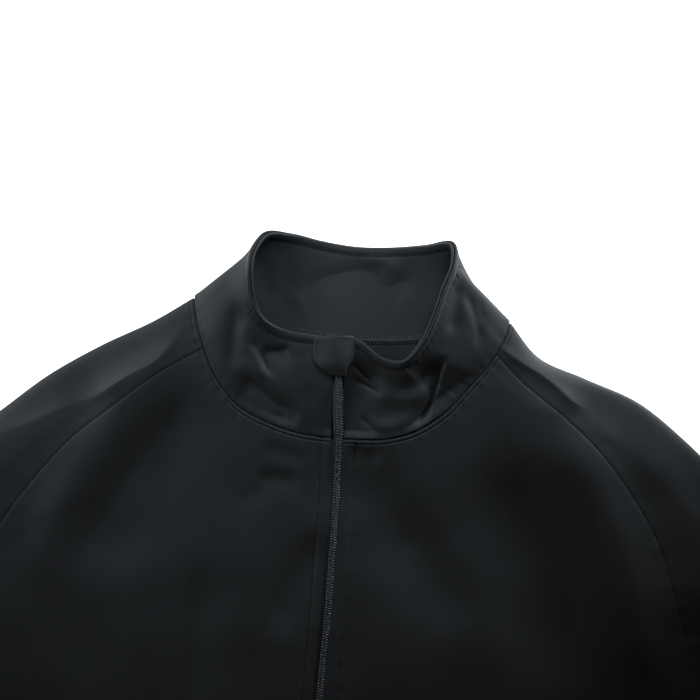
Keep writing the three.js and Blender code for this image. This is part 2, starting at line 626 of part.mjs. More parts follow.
// plate with rounded corners, narrower at its lower end
function sliderPlate() {
  const w = SLIDER.halfWidth,
    h = SLIDER.length / 2,
    r = 1.4,
    n = w - 0.35,
    shape = new THREE.Shape();
  shape.moveTo(-n + r, -h);
  shape.lineTo(n - r, -h);
  shape.quadraticCurveTo(n, -h, n, -h + r);
  shape.lineTo(w, h - 2.6);
  shape.quadraticCurveTo(w, h, w - 2.2, h);
  shape.lineTo(-w + 2.2, h);
  shape.quadraticCurveTo(-w, h, -w, h - 2.6);
  shape.lineTo(-n, -h + r);
  shape.quadraticCurveTo(-n, -h, -n + r, -h);
  return shape;
}
const SLIDER_TOP = COIL_TOP + SEAM, // underside of the slider's upper plate
  PULL_FOOT = SLIDER_TOP + SLIDER.plate + 0.25,
  BAR_FOOT = PULL_FOOT + PULL.thickness + 0.25;
function slider() {
  const h = SLIDER.length / 2,
    under = -TAPE / 2 - SEAM - SLIDER.plate,
    top = SLIDER_TOP + SLIDER.plate,
    w = SLIDER.halfWidth;
  return joined(
    plateOf(sliderPlate(), SLIDER_TOP, SLIDER.plate),
    plateOf(sliderPlate(), under, SLIDER.plate),
    block(-SLIDER.post, SLIDER.post, 2.9, h - 0.4, under + 0.1, top - 0.1), // wedge between the plates
    block(COIL_HALF + SEAM + 0.05, w - 0.4, -h + 1.5, h - 2.8, TAPE / 2 + SEAM, SLIDER_TOP + 0.1), // flanges beside the coil
    block(-w + 0.4, -COIL_HALF - SEAM - 0.05, -h + 1.5, h - 2.8, TAPE / 2 + SEAM, SLIDER_TOP + 0.1),
    block(-0.8, 0.8, -3.6, -2.6, top - 0.1, BAR_FOOT + SLIDER.bar), // bridge for the pull
    block(-0.8, 0.8, 2.2, 3.2, top - 0.1, BAR_FOOT + SLIDER.bar),
    block(-0.8, 0.8, -3.6, 3.2, BAR_FOOT, BAR_FOOT + SLIDER.bar),
  );
}
function pull() {
  const w = PULL.halfWidth,
    shape = new THREE.Shape();
  shape.moveTo(-w, -1.6);
  shape.lineTo(w, -1.6);
  shape.lineTo(w, 3.4);
  shape.lineTo(w - 0.5, PULL.reach - 1.6);
  shape.quadraticCurveTo(0, PULL.reach, -w + 0.5, PULL.reach - 1.6);
  shape.lineTo(-w, 3.4);
  const eye = new THREE.Path();
  eye.moveTo(-PULL.eye, -0.4);
  eye.lineTo(-PULL.eye, 4.2);
  eye.lineTo(PULL.eye, 4.2);
  eye.lineTo(PULL.eye, -0.4);
  shape.holes.push(eye);
  return plateOf(shape, PULL_FOOT, PULL.thickness);
}
// The guard lies on the collar and is domed over the slider and the pull.
const nearZip = gridOf(steps(30), steps(12), (s, q) => collarPoint(q * 0.075, s)).flat();
function collarHeight(x, y) {
  let best = nearZip[0];
  for (const p of nearZip) if (Math.hypot(p.x - x, p.y - y) < Math.hypot(best.x - x, best.y - y)) best = p;
  return best.z;
}
function guard() {
  const line = smooth(GUARD, GUARD.map((r) => -r.y));
  const domeTop = BAR_FOOT + SLIDER.bar + SEAM + CLOTH / 2 + 0.15;
  const rows = GUARD.map((r) => r.y);
  const grid = rows.map((y) =>
    steps(10).map((q) => {
      const x = lerp(line.value("left", -y), line.value("right", -y), q),
        c = zipX(y);
      const rest = COLLAR_PLIES / 2 + SEAM + CLOTH / 2 + 0.25;
      const side = x < c ? clamp01((c - 4.2 - x) / 9) : clamp01((x - c - 3.2) / 4.2);
      const end = y < SLIDER.y ? clamp01((SLIDER.y - 4.5 - y) / 7) : clamp01((y - SLIDER.y - 8) / 9) * 0.35;
      const dome = (1 - bump(side)) * (1 - bump(end));
      const low = Math.max(rest, (1 - bump(side)) * (COIL_TOP + SEAM + CLOTH / 2 + 0.1));
      const base = Math.max(collarHeight(x, y), zipHeight(x, y));
      return V(x, y, base + lerp(low, domeTop, dome));
    }),
  );
  return sheetBody(grid);
}
function box() {
  const shape = new THREE.Shape(),
    w = 2.5,
    r = 0.8,
    y0 = HEM_Y + BOX.rise,
    y1 = y0 + BOX.length;
  shape.moveTo(-w + r, y0);
  shape.lineTo(w - r, y0);
  shape.quadraticCurveTo(w, y0, w, y0 + r);
  shape.lineTo(w, y1 - r);
  shape.quadraticCurveTo(w, y1, w - r, y1);
  shape.lineTo(-w + r, y1);
  shape.quadraticCurveTo(-w, y1, -w, y1 - r);
  shape.lineTo(-w, y0 + r);
  shape.quadraticCurveTo(-w, y0, -w + r, y0);
  return plateOf(shape, REST_HEIGHT - TAPE_DROP - 0.45, 2.7);
}
const atSlider = (geometry) => {
  const y = SLIDER.y,
    x = zipX(y),
    rise = Math.atan2(zipHeight(x, y + 5) - zipHeight(x, y - 5), 10),
    turn = Math.atan2(-(zipX(y + 5) - zipX(y - 5)), 10);
  return geometry.rotateZ(turn).rotateX(rise).translate(x, y, zipHeight(x, y));
};

const cloth = (name, geometry, color = 0x131415) => {
  const m = new THREE.Mesh(geometry, new THREE.MeshStandardMaterial({ color, roughness: 0.62, metalness: 0 }));
  m.name = name;
  return m;
};
const hard = (name, geometry, color, metalness) => {
  const m = new THREE.Mesh(geometry, new THREE.MeshStandardMaterial({ color, roughness: 0.4, metalness }));
  m.name = name;
  return m;
};
const part = new THREE.Group();
part.add(
  cloth("back", back()),
  cloth("front_right", front(neckRight, sleeveRight, sideRight, SLOT_RIGHT, -1)),
  cloth("front_left", front(neckLeft, sleeveLeft, sideLeft, SLOT_LEFT, 1)),
  cloth("sleeve_right", sleeve(sleeveRight, -1, headOf(neckRight, (q) => lerp(0, neckBack.at[1], 1 - q)))),
  cloth("sleeve_left", sleeve(sleeveLeft, 1, headOf(neckLeft, (q) => lerp(neckBack.at[7], neckBack.at[8], q)))),
  cloth("collar_outer", between(outerFace, outerBack)),
  cloth("collar_inner", between(innerFace, innerBack)),
  cloth("zip_guard", guard()),
  cloth("zip_tape_right", tape(-1), 0x0c0d0e),
  cloth("zip_tape_left", tape(1), 0x0c0d0e),
  hard("zip_coil", coil(), 0x0e0f10, 0),
  hard("zip_slider", atSlider(slider()), 0x17181a, 0.6),
  hard("zip_pull", atSlider(pull()), 0x17181a, 0.6),
  hard("zip_box", box(), 0x0e0f10, 0),
);
part.position.set(-ORIGIN.x, -ORIGIN.y, 0);
export default part;
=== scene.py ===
import bpy
import math
import numpy as np
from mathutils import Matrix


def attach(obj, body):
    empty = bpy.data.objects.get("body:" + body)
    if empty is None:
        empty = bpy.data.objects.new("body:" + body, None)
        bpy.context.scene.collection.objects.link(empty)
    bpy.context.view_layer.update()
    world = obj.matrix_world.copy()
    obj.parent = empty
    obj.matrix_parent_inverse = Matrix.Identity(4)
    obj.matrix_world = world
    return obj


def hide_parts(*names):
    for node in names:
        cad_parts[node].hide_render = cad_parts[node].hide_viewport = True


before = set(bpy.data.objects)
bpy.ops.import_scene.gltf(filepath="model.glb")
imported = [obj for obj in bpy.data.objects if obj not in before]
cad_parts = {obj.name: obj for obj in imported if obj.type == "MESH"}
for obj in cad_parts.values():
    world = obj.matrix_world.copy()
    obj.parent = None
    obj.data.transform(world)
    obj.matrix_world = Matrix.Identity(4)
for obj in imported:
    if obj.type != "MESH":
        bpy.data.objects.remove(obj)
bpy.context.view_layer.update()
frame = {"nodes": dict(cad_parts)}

OX, OY = 21.975, 263.535  # from the tables' frame to the part's frame
CLOTH = 1.2
SEAM = 0.3
PLY_GAP = 0.4
PLIES = 2 * CLOTH + PLY_GAP
EDGE_LIFT, NECK_LIFT, NECK_REACH = 2.5, 4.2, 60.0
REST, BODY_LIFT, OPEN_REACH = 3.4, 2.4, 150.0
TAPE, TAPE_WIDTH = 0.8, 15.0
COIL_HALF, COIL_HEIGHT = 2.3, 1.6
SLOT_RIGHT, SLOT_LEFT = -5.6, 2.8
HEM_Y = -626.0
FOLD_SPLIT = (CLOTH + SEAM) / 2

# ---------------------------------------------------------------- tables
NECK_RIGHT = [[-4.45, -1], [-28, 1], [-48, 6.5], [-67, 15.5], [-82, 31], [-93, 52], [-98.5, 68], [-102, 84]]
NECK_BACK = [[-102, 84], [-84, 76.3], [-60, 70.0], [-30, 65.4], [2, 63.8], [35, 65.2], [64, 69.9], [88, 75.6], [108, 83]]
NECK_LEFT = [[3.95, -1], [30, 0.5], [50, 7], [67, 19], [83, 38], [100, 62], [104.5, 72], [108, 83]]
# sleeve sections: front edge, fold along the top of the arm, back edge
SLEEVE_RIGHT = [
    [-93, 52, -102, 84, -84, 76.5], [-118, 35.6, -126, 67.5, -112, 52], [-147, 11.8, -160, 48.5, -142, 22],
    [-179.1, -17.7, -194, 26, -172, -14], [-209.3, -58.4, -222, 2, -202, -56], [-232, -105, -262, -33, -228, -104],
    [-250, -160, -310, -73, -248, -162], [-266, -232, -362, -116, -266, -232], [-314, -272, -412, -160, -314, -272],
    [-362, -312, -460, -207, -362, -312], [-409, -353, -505, -256, -409, -353], [-456, -395, -547, -307, -456, -395],
    [-502, -437, -590, -359, -502, -437], [-548, -479, -633, -412, -548, -479],
]
SLEEVE_LEFT = [
    [100, 62, 108, 83, 88, 76], [118.4, 44.9, 127, 62.5, 116, 52], [149.7, 22.7, 160, 50, 146, 22],
    [180.8, -5.3, 196, 37, 176, -14], [211.4, -46.2, 228, 15, 206, -56], [231, -93, 266, -19, 231, -104],
    [252, -155, 312, -65, 252, -162], [270, -232, 362, -118, 270, -232], [309, -276, 406, -168, 309, -276],
    [347, -321, 447, -221, 347, -321], [385, -366, 486, -276, 385, -366], [422, -411, 522, -333, 422, -411],
    [459, -457, 556, -391, 459, -457], [495, -503, 589, -450, 495, -503],
]
UNDERARM = 7
SIDE_RIGHT = [[-266, -232], [-262, -330], [-258, -430], [-255, -530], [-252, -625]]
SIDE_LEFT = [[270, -232], [265, -330], [261, -430], [257, -530], [254, -625]]
TAIL = [[-252, -625], [-180, -641], [-90, -656], [1, -661], [92, -656], [182, -641], [254, -625]]
ZIP_LINE = [[-3.3, 66], [-2.6, 50], [-2.1, 40], [-0.4, 20], [1.1, 0], [2, -50], [2, -110], [0.8, -170], [0, -400], [0, HEM_Y]]
GUARD = [[66.6, -14, 2.2], [64.8, -18.6, 2.3], [60, -20.6, 2.4], [55, -20.6, 2.5], [50, -19.4, 2.6],
         [46.5, -16.4, 2.6], [43.6, -12, 2.5], [41.5, -7.8, 2.2], [40.3, -5, 1.2]]
# collar: share of the neckline, top edge x y z, lean at the seam and at the top edge
COLLAR = [
    [0.0, -7.8, 65.5, 14, 10, 0], [0.05, -24, 66.2, 14, 14, 0], [0.1, -40.5, 68.2, 16, 20, 5],
    [0.15, -53.8, 74.3, 21, 26, 25], [0.2, -62.3, 88, 27, 30, 50], [0.25, -65, 106, 29, 30, 62],
    [0.29, -63.4, 119.5, 25, 25, 58], [0.325, -57.2, 130, 16.5, 8, 40], [0.375, -41, 131.5, 8.5, 0, 20],
    [0.4375, -20, 128.5, 4.5, 0, 6], [0.5, 2, 126.5, 3.4, 0, 2], [0.5625, 25, 127.6, 4.5, 0, 6],
    [0.625, 48, 130.6, 8, 0, 18], [0.672, 65, 133, 15, 8, 40], [0.712, 66.6, 119, 23, 25, 56],
    [0.75, 62, 104, 26, 30, 60], [0.8, 57, 85, 26, 30, 52], [0.85, 50.2, 68, 23, 30, 34],
    [0.9, 38.5, 53.6, 20, 26, 20], [0.945, 23, 55.6, 16.5, 16, 5], [0.975, 10, 64.6, 14.6, 12, 2],
    [1.0, 0.8, 65.5, 14, 10, 0],
]
COLLAR_HANDLE = 20.0

# creases of the upper layer: path, reach left and right of it, height (a trough is negative), sharpness of the crest
FOLDS = [
    # wearer's right shoulder: sleeve head, seam, and the drop from the shoulder to the front
    ([(-262, -40), (-236, -24), (-222, -14), (-205, -6), (-190, 2), (-175, 9), (-158, 15)], 14, 26, 3.2, 1.15),
    ([(-178, 8), (-160, 16), (-148, 25), (-138, 32), (-126, 39), (-117, 49), (-110, 61), (-106, 74)], 12, 8, 3.0, 1.15),
    ([(-86, 54), (-108, 41), (-126, 27), (-141, 11), (-152, -7), (-162, -26), (-170, -44), (-177, -62), (-185, -88), (-197, -125)], 25, 18, 4.4, 2),
    ([(-80, 34), (-98, 10), (-119, -18), (-138, -46), (-152, -76), (-168, -112)], 34, 20, -4.0, 2),
    # wearer's right front
    ([(-46, -20), (-50, -70), (-54, -130), (-64, -200), (-76, -280)], 26, 24, 2.0, 2),
    ([(-82, -76), (-85, -120), (-88, -170), (-90, -240)], 16, 9, -2.0, 2),
    ([(-160, -150), (-154, -190), (-146, -240), (-130, -320)], 18, 18, 2.0, 2),
    ([(-55, -32), (-40, -30), (-19, -31)], 5, 8, -1.2, 2),
    ([(-64, -46), (-50, -42), (-38, -42)], 5, 7, -0.5, 2),
    ([(-8, -58), (-15, -80), (-24, -106), (-32, -140)], 14, 9, -2.0, 2),
    ([(-52, -7), (-34, -13), (-16, -15)], 4, 7, -0.9, 2),
    # wearer's left front
    ([(2, -4), (14, -20), (28, -38), (43, -56), (59, -76), (76, -98), (96, -124)], 18, 26, -3.3, 2),
    ([(5, -8), (17, -9), (32, -11)], 4, 8, -1.3, 2),
    ([(88, 6), (104, -18), (122, -46), (140, -80), (154, -116), (166, -160)], 26, 34, -4.0, 2),
    # wearer's left shoulder and sleeve
    ([(96, 57), (118, 38), (134, 22), (150, 5), (165, -12), (178, -32), (189, -54), (198, -80), (208, -112), (222, -156), (236, -200)], 20, 30, 4.8, 2),
    ([(94, 71), (104, 65.5), (113, 60.5), (124, 54.5), (133, 49.7), (142, 43.7), (151, 36), (158, 32), (168, 28)], 11, 6, 3.5, 1.15),
    ([(132, 46), (148, 34), (163, 26), (176, 18), (194, 4)], 16, 12, 1.2, 1.6),
    ([(184, 30), (202, 10), (220, -14), (234, -44), (244, -80), (254, -130)], 20, 24, 2.6, 2),
    # lower body
    ([(-196, -190), (-160, -240), (-128, -290), (-96, -330)], 18, 26, 3.2, 1.8),
    ([(-206, -240), (-176, -300), (-140, -350)], 14, 16, -1.8, 2),
    ([(-150, -360), (-124, -420), (-96, -470), (-70, -520)], 20, 24, 2.8, 1.8),
    ([(-222, -470), (-206, -530), (-186, -590)], 16, 20, 2.4, 2),
    ([(-60, -300), (-48, -370), (-52, -450)], 12, 14, -1.6, 2),
    ([(-40, -480), (-30, -540), (-34, -600)], 12, 14, 1.5, 2),
    ([(205, -220), (176, -262), (150, -310), (120, -360)], 18, 26, 3.4, 1.8),
    ([(226, -270), (196, -320), (160, -374)], 12, 16, -1.8, 2),
    ([(150, -400), (110, -450), (84, -500), (60, -560)], 20, 26, 2.8, 1.8),
    ([(212, -450), (196, -520), (188, -600)], 16, 20, 2.2, 2),
    ([(50, -250), (62, -320), (54, -390)], 12, 14, -1.5, 2),
    ([(30, -440), (24, -520), (34, -590)], 12, 12, 1.3, 2),
    ([(120, -170), (116, -230), (96, -290)], 16, 18, 1.8, 2),
    # sleeves, elbow and forearm
    ([(-318, -152), (-348, -192), (-372, -250)], 12, 16, 3.4, 1.7),
    ([(-292, -170), (-322, -214), (-340, -262)], 8, 9, -1.6, 2),
    ([(-404, -232), (-434, -276), (-452, -330)], 12, 14, 3.2, 1.7),
    ([(-430, -220), (-462, -262), (-486, -310)], 8, 9, -1.5, 2),
    ([(-505, -330), (-516, -372), (-520, -420)], 12, 13, 2.4, 2),
    ([(-546, -352), (-566, -392), (-580, -430)], 8, 9, 1.3, 2),
    ([(318, -160), (340, -206), (352, -262)], 12, 16, 3.4, 1.7),
    ([(290, -176), (312, -220), (322, -268)], 8, 9, -1.6, 2),
    ([(402, -260), (418, -312), (424, -366)], 12, 14, 3.0, 1.7),
    ([(434, -250), (454, -302), (464, -352)], 8, 9, -1.5, 2),
    ([(486, -372), (490, -414), (484, -456)], 12, 13, 2.2, 2),
    ([(520, -400), (532, -440), (540, -476)], 8, 9, 1.2, 2),
]
# creases of the collar's outer face, the same way, in plan
COLLAR_FOLDS = [
    ([(-73, 86), (-73, 70), (-74, 56), (-73, 46), (-69, 36)], 8, 4.2, -1.7, 1.9),
    ([(-66, 74), (-66, 60), (-64, 46)], 4, 4, 0.7, 2),
    ([(-62, 58), (-58, 45), (-51, 31)], 3.0, 2.6, 1.0, 1.7),
    ([(-60, 64), (-56, 52), (-49, 41), (-43, 35)], 3, 2.4, -1.4, 1.6),
    ([(-73, 36), (-63, 33), (-55, 28), (-44, 20), (-34, 15), (-23, 13)], 5, 12, -3.8, 1.6),
    ([(-56, 53), (-46, 53), (-34, 56)], 3.5, 10, -2.4, 1.6),
    ([(-46, 9), (-34, 10), (-24, 11)], 3, 6, -0.8, 2),
    ([(-31, 52), (-26, 40), (-23, 26)], 6, 6, 0.5, 2),
    ([(-90, 72), (-84, 52), (-74, 34)], 6, 5, 0.4, 2),
    # left
    ([(3, 53), (16, 44), (28, 37), (39, 33.5), (48, 36), (57, 44), (64, 60)], 10, 36, -5.6, 1.8),
    ([(14, 32), (26, 30), (38, 28.5), (47, 30), (55, 36), (61, 48)], 20, 8, 2.4, 1.7),
    ([(12, 9), (26, 8), (38, 9), (46, 14), (53, 24), (57.5, 36), (60, 50)], 6.5, 7, 2.4, 1.8),
    ([(66, 61), (66, 50), (65, 38), (62.5, 27), (58.5, 18), (54, 10), (49, 3)], 2.0, 9, -4.8, 1.7),
    ([(4, 51), (12, 43), (20, 36)], 2.2, 1.6, -1.5, 1.4),
    ([(6, 40), (16, 34.5), (28, 29)], 2.4, 1.8, -1.5, 1.4),
    ([(13, 15), (19, 9.5), (26, 3)], 1.8, 1.4, -1.3, 1.4),
    ([(71, 112), (71, 98), (69.5, 84), (68, 70)], 5, 4.5, -1.6, 2),
    ([(76, 108), (78.5, 99), (83, 88), (87, 77), (87, 62)], 4, 3.0, -0.9, 2),
    ([(84, 100), (88, 90), (92, 80)], 2.4, 2.4, -0.35, 2),
    ([(92, 80), (92, 66), (86, 48), (76, 32)], 6, 6, 0.3, 2),
]
# folds that hang over their own foot: line of the foot, width of the side that leans, how far the lean dies away, and its amount
COLLAR_LEANS = [
    ([(66, 61), (66, 50), (65, 38), (62.5, 27), (58.5, 18), (54, 10), (49, 3)], 4.4, 14, 4.3),
]
# creases of the collar's inner face
INNER_FOLDS = [
    ([(-27, 80), (-17, 89), (-7, 95), (4, 99), (15, 101), (26, 101)], 12, 42, -3.8, 2),
    ([(6, 88), (20, 94), (34, 103), (46, 115)], 6, 7, -1.3, 1.8),
    ([(4, 118), (14, 119), (26, 116), (34, 108)], 6, 4, 0.8, 2),
    ([(-60, 118), (-57, 100), (-50, 84)], 5, 5, -0.4, 2),
    ([(-44, 84), (-30, 90), (-20, 102)], 8, 8, 0.3, 2),
]


# ---------------------------------------------------------------- curves
def bump(t):
    return t * t * (3 - 2 * t)


class Track:
    """Smooth curve through a table's rows, with all its columns, along a distance."""

    def __init__(self, rows, at=None, cols=(0, 1)):
        self.r = np.array(rows, float)
        if at is None:
            d = np.hypot(*np.diff(self.r[:, list(cols)], axis=0).T)
            at = np.r_[0, np.cumsum(d)]
        self.at = np.array(at, float)
        self.length = float(self.at[-1])
        h = np.diff(self.at)[:, None]
        s = np.diff(self.r, axis=0) / h
        m = np.empty_like(self.r)
        m[0], m[-1] = s[0], s[-1]
        m[1:-1] = (s[:-1] * h[1:] + s[1:] * h[:-1]) / (h[:-1] + h[1:])
        self.m = m

    def __call__(self, t):
        t = np.clip(np.asarray(t, float), self.at[0], self.at[-1])
        i = np.clip(np.searchsorted(self.at, t, side="left") - 1, 0, len(self.at) - 2)
        h = self.at[i + 1] - self.at[i]
        q = ((t - self.at[i]) / h)[..., None]
        h = h[..., None]
        a, b, m0, m1 = self.r[i], self.r[i + 1], self.m[i] * h, self.m[i + 1] * h
        return a * (2 * q**3 - 3 * q * q + 1) + m0 * (q**3 - 2 * q * q + q) + b * (3 * q * q - 2 * q**3) + m1 * (q**3 - q * q)


neck_right, neck_back, neck_left = Track(NECK_RIGHT), Track(NECK_BACK), Track(NECK_LEFT)
arm_right, arm_left = Track(SLEEVE_RIGHT, cols=(2, 3)), Track(SLEEVE_LEFT, cols=(2, 3))
side_right, side_left, tail = Track(SIDE_RIGHT), Track(SIDE_LEFT), Track(TAIL)
collar_rows = Track([r[1:] for r in COLLAR], at=[r[0] for r in COLLAR])


def zip_x(y):
    z = np.array(ZIP_LINE[::-1], float)
    y = np.asarray(y, float)
    i = np.clip(np.searchsorted(z[:, 1], y, side="right") - 1, 0, len(z) - 2)
    t = np.clip((y - z[i, 1]) / (z[i + 1, 1] - z[i, 1]), 0, 1)
    return z[i, 0] + (z[i + 1, 0] - z[i, 0]) * bump(t)


def dense(path, step=2.0):
    """A smooth polyline through a few points."""
    t = Track(path)
    return t(np.linspace(0, t.length, max(3, int(t.length / step) + 1)))[:, :2]


def nearest(lines, x, y):
    """Distance to the nearest of several polylines, the share of the way along it, and the side (left is positive)."""
    shape = np.shape(x)
    p = np.stack([np.ravel(x), np.ravel(y)], 1)
    best = np.full(len(p), 1e9)
    share = np.zeros(len(p))
    side = np.zeros(len(p))
    for line in lines:
        a, b = line[:-1], line[1:]
        seg = np.hypot(*(b - a).T)
        run = np.r_[0, np.cumsum(seg)]
        for k in range(len(a)):
            d = b[k] - a[k]
            rel = p - a[k]
            t = np.clip((rel @ d) / (d @ d), 0, 1)
            off = rel - t[:, None] * d
            dist = np.hypot(off[:, 0], off[:, 1])
            m = dist < best
            best[m] = dist[m]
            share[m] = (run[k] + t[m] * seg[k]) / run[-1]
            side[m] = np.sign(d[0] * rel[m, 1] - d[1] * rel[m, 0])
    return best.reshape(shape), share.reshape(shape), side.reshape(shape)


def crease_height(creases, x, y):
    shape = np.shape(x)
    x, y = np.ravel(x).astype(float), np.ravel(y).astype(float)
    z = np.zeros(len(x))
    for path, left, right, height, crest in creases:
        line = dense(path, 4.0 if max(left, right) > 5 else 2.0)
        reach = 2.4 * max(left, right)
        m = (x > line[:, 0].min() - reach) & (x < line[:, 0].max() + reach)
        m &= (y > line[:, 1].min() - reach) & (y < line[:, 1].max() + reach)
        if not m.any():
            continue
        d, t, s = nearest([line], x[m], y[m])
        w = np.where(s > 0, left, right)
        z[m] += height * bump(np.clip(t / 0.3, 0, 1)) * bump(np.clip((1 - t) / 0.3, 0, 1)) * np.exp(-((d / w) ** crest)) * (d < reach)
    return z.reshape(shape)


rng = np.random.default_rng(7)
WAVES = [(rng.uniform(0, 2 * math.pi), rng.uniform(0, 2 * math.pi), w, a)
         for w, a in [(150, 0.5), (120, 0.45), (95, 0.35), (80, 0.3), (64, 0.2), (52, 0.16), (41, 0.1), (33, 0.08), (27, 0.06)]]


def unrest(x, y):
    """Low, wide unevenness of cloth that has been laid down by hand."""
    z = 0
    for turn, phase, wave, amp in WAVES:
        z = z + amp * np.sin((x * math.cos(turn) + y * math.sin(turn)) * 2 * math.pi / wave + phase)
    return z


RAGLANS = [arm_right(np.linspace(0, arm_right.at[UNDERARM], 60))[:, :2], arm_left(np.linspace(0, arm_left.at[UNDERARM], 60))[:, :2]]
NECK_FRONT = [neck_right(np.linspace(0, neck_right.length, 50)), neck_left(np.linspace(0, neck_left.length, 50))]
NECK_ALL = NECK_FRONT + [neck_back(np.linspace(0, neck_back.length, 40))]
ARM_FOLDS = [arm_right(np.linspace(0, arm_right.length, 110))[:, 2:4], arm_left(np.linspace(0, arm_left.length, 110))[:, 2:4]]
SEWN = [arm_right(np.linspace(arm_right.at[UNDERARM], arm_right.length, 50))[:, :2],
        arm_left(np.linspace(arm_left.at[UNDERARM], arm_left.length, 50))[:, :2],
        side_right(np.linspace(0, side_right.length, 24)), side_left(np.linspace(0, side_left.length, 24))]
OPEN = [np.array([SLEEVE_RIGHT[-1][0:2], SLEEVE_RIGHT[-1][2:4]], float), np.array([SLEEVE_LEFT[-1][0:2], SLEEVE_LEFT[-1][2:4]], float),
        np.array([[-252, -625], [254, -625]], float)]


def wobble(t, wave, seed):
    """Uneven puckers along a seam, at distance t along it."""
    return (np.sin(t * 2 * math.pi / wave + seed) + 0.6 * np.sin(t * 2 * math.pi / (wave * 0.61) + 2.1 * seed)
            + 0.5 * np.sin(t * 2 * math.pi / (wave * 1.7) + 0.7 * seed)) / 1.6


def edge_height(x, y):
    d, _, _ = nearest(NECK_ALL, x, y)
    return EDGE_LIFT + NECK_LIFT * np.exp(-d / NECK_REACH)


def round_roll(d, reach):
    q = np.clip(d / reach, 0, 1)
    return 1 - np.sqrt(np.clip(1 - (1 - q) ** 2, 0, 1))


def arm_slope(d):
    """The top of the arm: a tight fold at its edge, then a long slope up."""
    return 0.42 * round_roll(d, 7) + 0.58 * np.clip(1 - d / 30, 0, 1) ** 1.3


def upper(x, y, fine=True):
    """Middle of the upper layer's cloth."""
    x, y = np.asarray(x, float), np.asarray(y, float)
    edge = edge_height(x, y)
    far = np.clip(nearest(OPEN, x, y)[0] / OPEN_REACH, 0, 1)
    relief = crease_height(FOLDS, x, y) + 0.6 * unrest(x, y)
    level = REST + BODY_LIFT * bump(far) + 1.1 * (edge - EDGE_LIFT) + relief * bump(np.clip(2 * far, 0, 1))
    low = REST - 0.5
    level = low + np.where(level - low > 4, level - low, np.log1p(np.exp(np.clip((level - low) * 1.6, -20, 20))) / 1.6)
    dn, tn, _ = nearest(NECK_FRONT, x, y)
    dr, tr, _ = nearest(RAGLANS, x, y)
    if fine:
        # raglan seams: a groove, with uneven puckers next to it
        level = level - 0.22 * np.exp(-((dr / 1.2) ** 2))
        level = level + 0.22 * wobble(tr * 330, 13, 1.0) * np.exp(-((dr / 7) ** 2))
        # neck seam and the row of stitching next to it
        level = level - 0.5 * np.exp(-((dn / 1.2) ** 2)) + 0.25 * np.exp(-(((dn - 1.7) / 0.9) ** 2)) - 0.5 * np.exp(-(((dn - 2.9) / 0.6) ** 2))
        level = level + 0.15 * wobble(tn * 150, 9, 3.0) * np.exp(-(((dn - 4) / 4) ** 2))
        # zip: folded front edges and the stitching beside them
        dz = np.abs(x - zip_x(y))
        level = level - 0.45 * np.exp(-(((dz - 11.5) / 0.9) ** 2)) * (y < -1) + 0.15 * np.exp(-(((dz - 8) / 2.2) ** 2)) * (y < -1)
        level = level + 0.2 * wobble(y + 40 * np.sign(x), 8.5, 5.0) * np.exp(-(((dz - 12) / 3) ** 2)) * (y < -1)
        # turned hem and cuffs
        do = far * OPEN_REACH
        level = level + 0.35 * np.exp(-((do / 22) ** 8)) - 0.4 * np.exp(-(((do - 21) / 0.9) ** 2))
    df = nearest(ARM_FOLDS, x, y)[0]
    ds = nearest(SEWN, x, y)[0]
    return level - (level - edge) * arm_slope(df) - (level - edge - FOLD_SPLIT) * round_roll(ds, 14)


def lower(x, y):
    """Middle of the cloth of the layer that lies on the table."""
    lift = edge_height(x, y) - CLOTH / 2
    df = nearest(ARM_FOLDS, x, y)[0]
    ds = nearest(SEWN, x, y)[0]
    return CLOTH / 2 + lift * round_roll(df, 6) + (lift - FOLD_SPLIT) * round_roll(ds, 5)


# ---------------------------------------------------------------- meshes
def normals(p):
    a = np.empty_like(p)
    b = np.empty_like(p)
    a[1:-1] = p[2:] - p[:-2]
    a[0], a[-1] = p[1] - p[0], p[-1] - p[-2]
    b[:, 1:-1] = p[:, 2:] - p[:, :-2]
    b[:, 0], b[:, -1] = p[:, 1] - p[:, 0], p[:, -1] - p[:, -2]
    n = np.cross(a, b)
    return n / np.maximum(np.linalg.norm(n, axis=2, keepdims=True), 1e-12)


def make(name, verts, faces, material, smooth=True):
    me = bpy.data.meshes.new(name)
    v = np.asarray(verts, float) + np.array([OX, OY, 0.0])
    me.from_pydata((v * 0.001).tolist(), [], faces)
    me.update()
    ob = bpy.data.objects.new(name, me)
    bpy.context.scene.collection.objects.link(ob)
    me.materials.append(material)
    me.polygons.foreach_set("use_smooth", [smooth] * len(me.polygons))
    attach(ob, "root")
    return ob


def edge_run(p, axis, end):
    """Distance of each grid point from one edge of the grid, along the surface."""
    q = np.moveaxis(p, axis, 0)
    if end:
        q = q[::-1]
    step = np.linalg.norm(np.diff(q, axis=0), axis=2)
    run = np.concatenate([np.zeros((1,) + step.shape[1:]), np.cumsum(step, axis=0)])
    if end:
        run = run[::-1]
    return np.moveaxis(run, 0, axis)


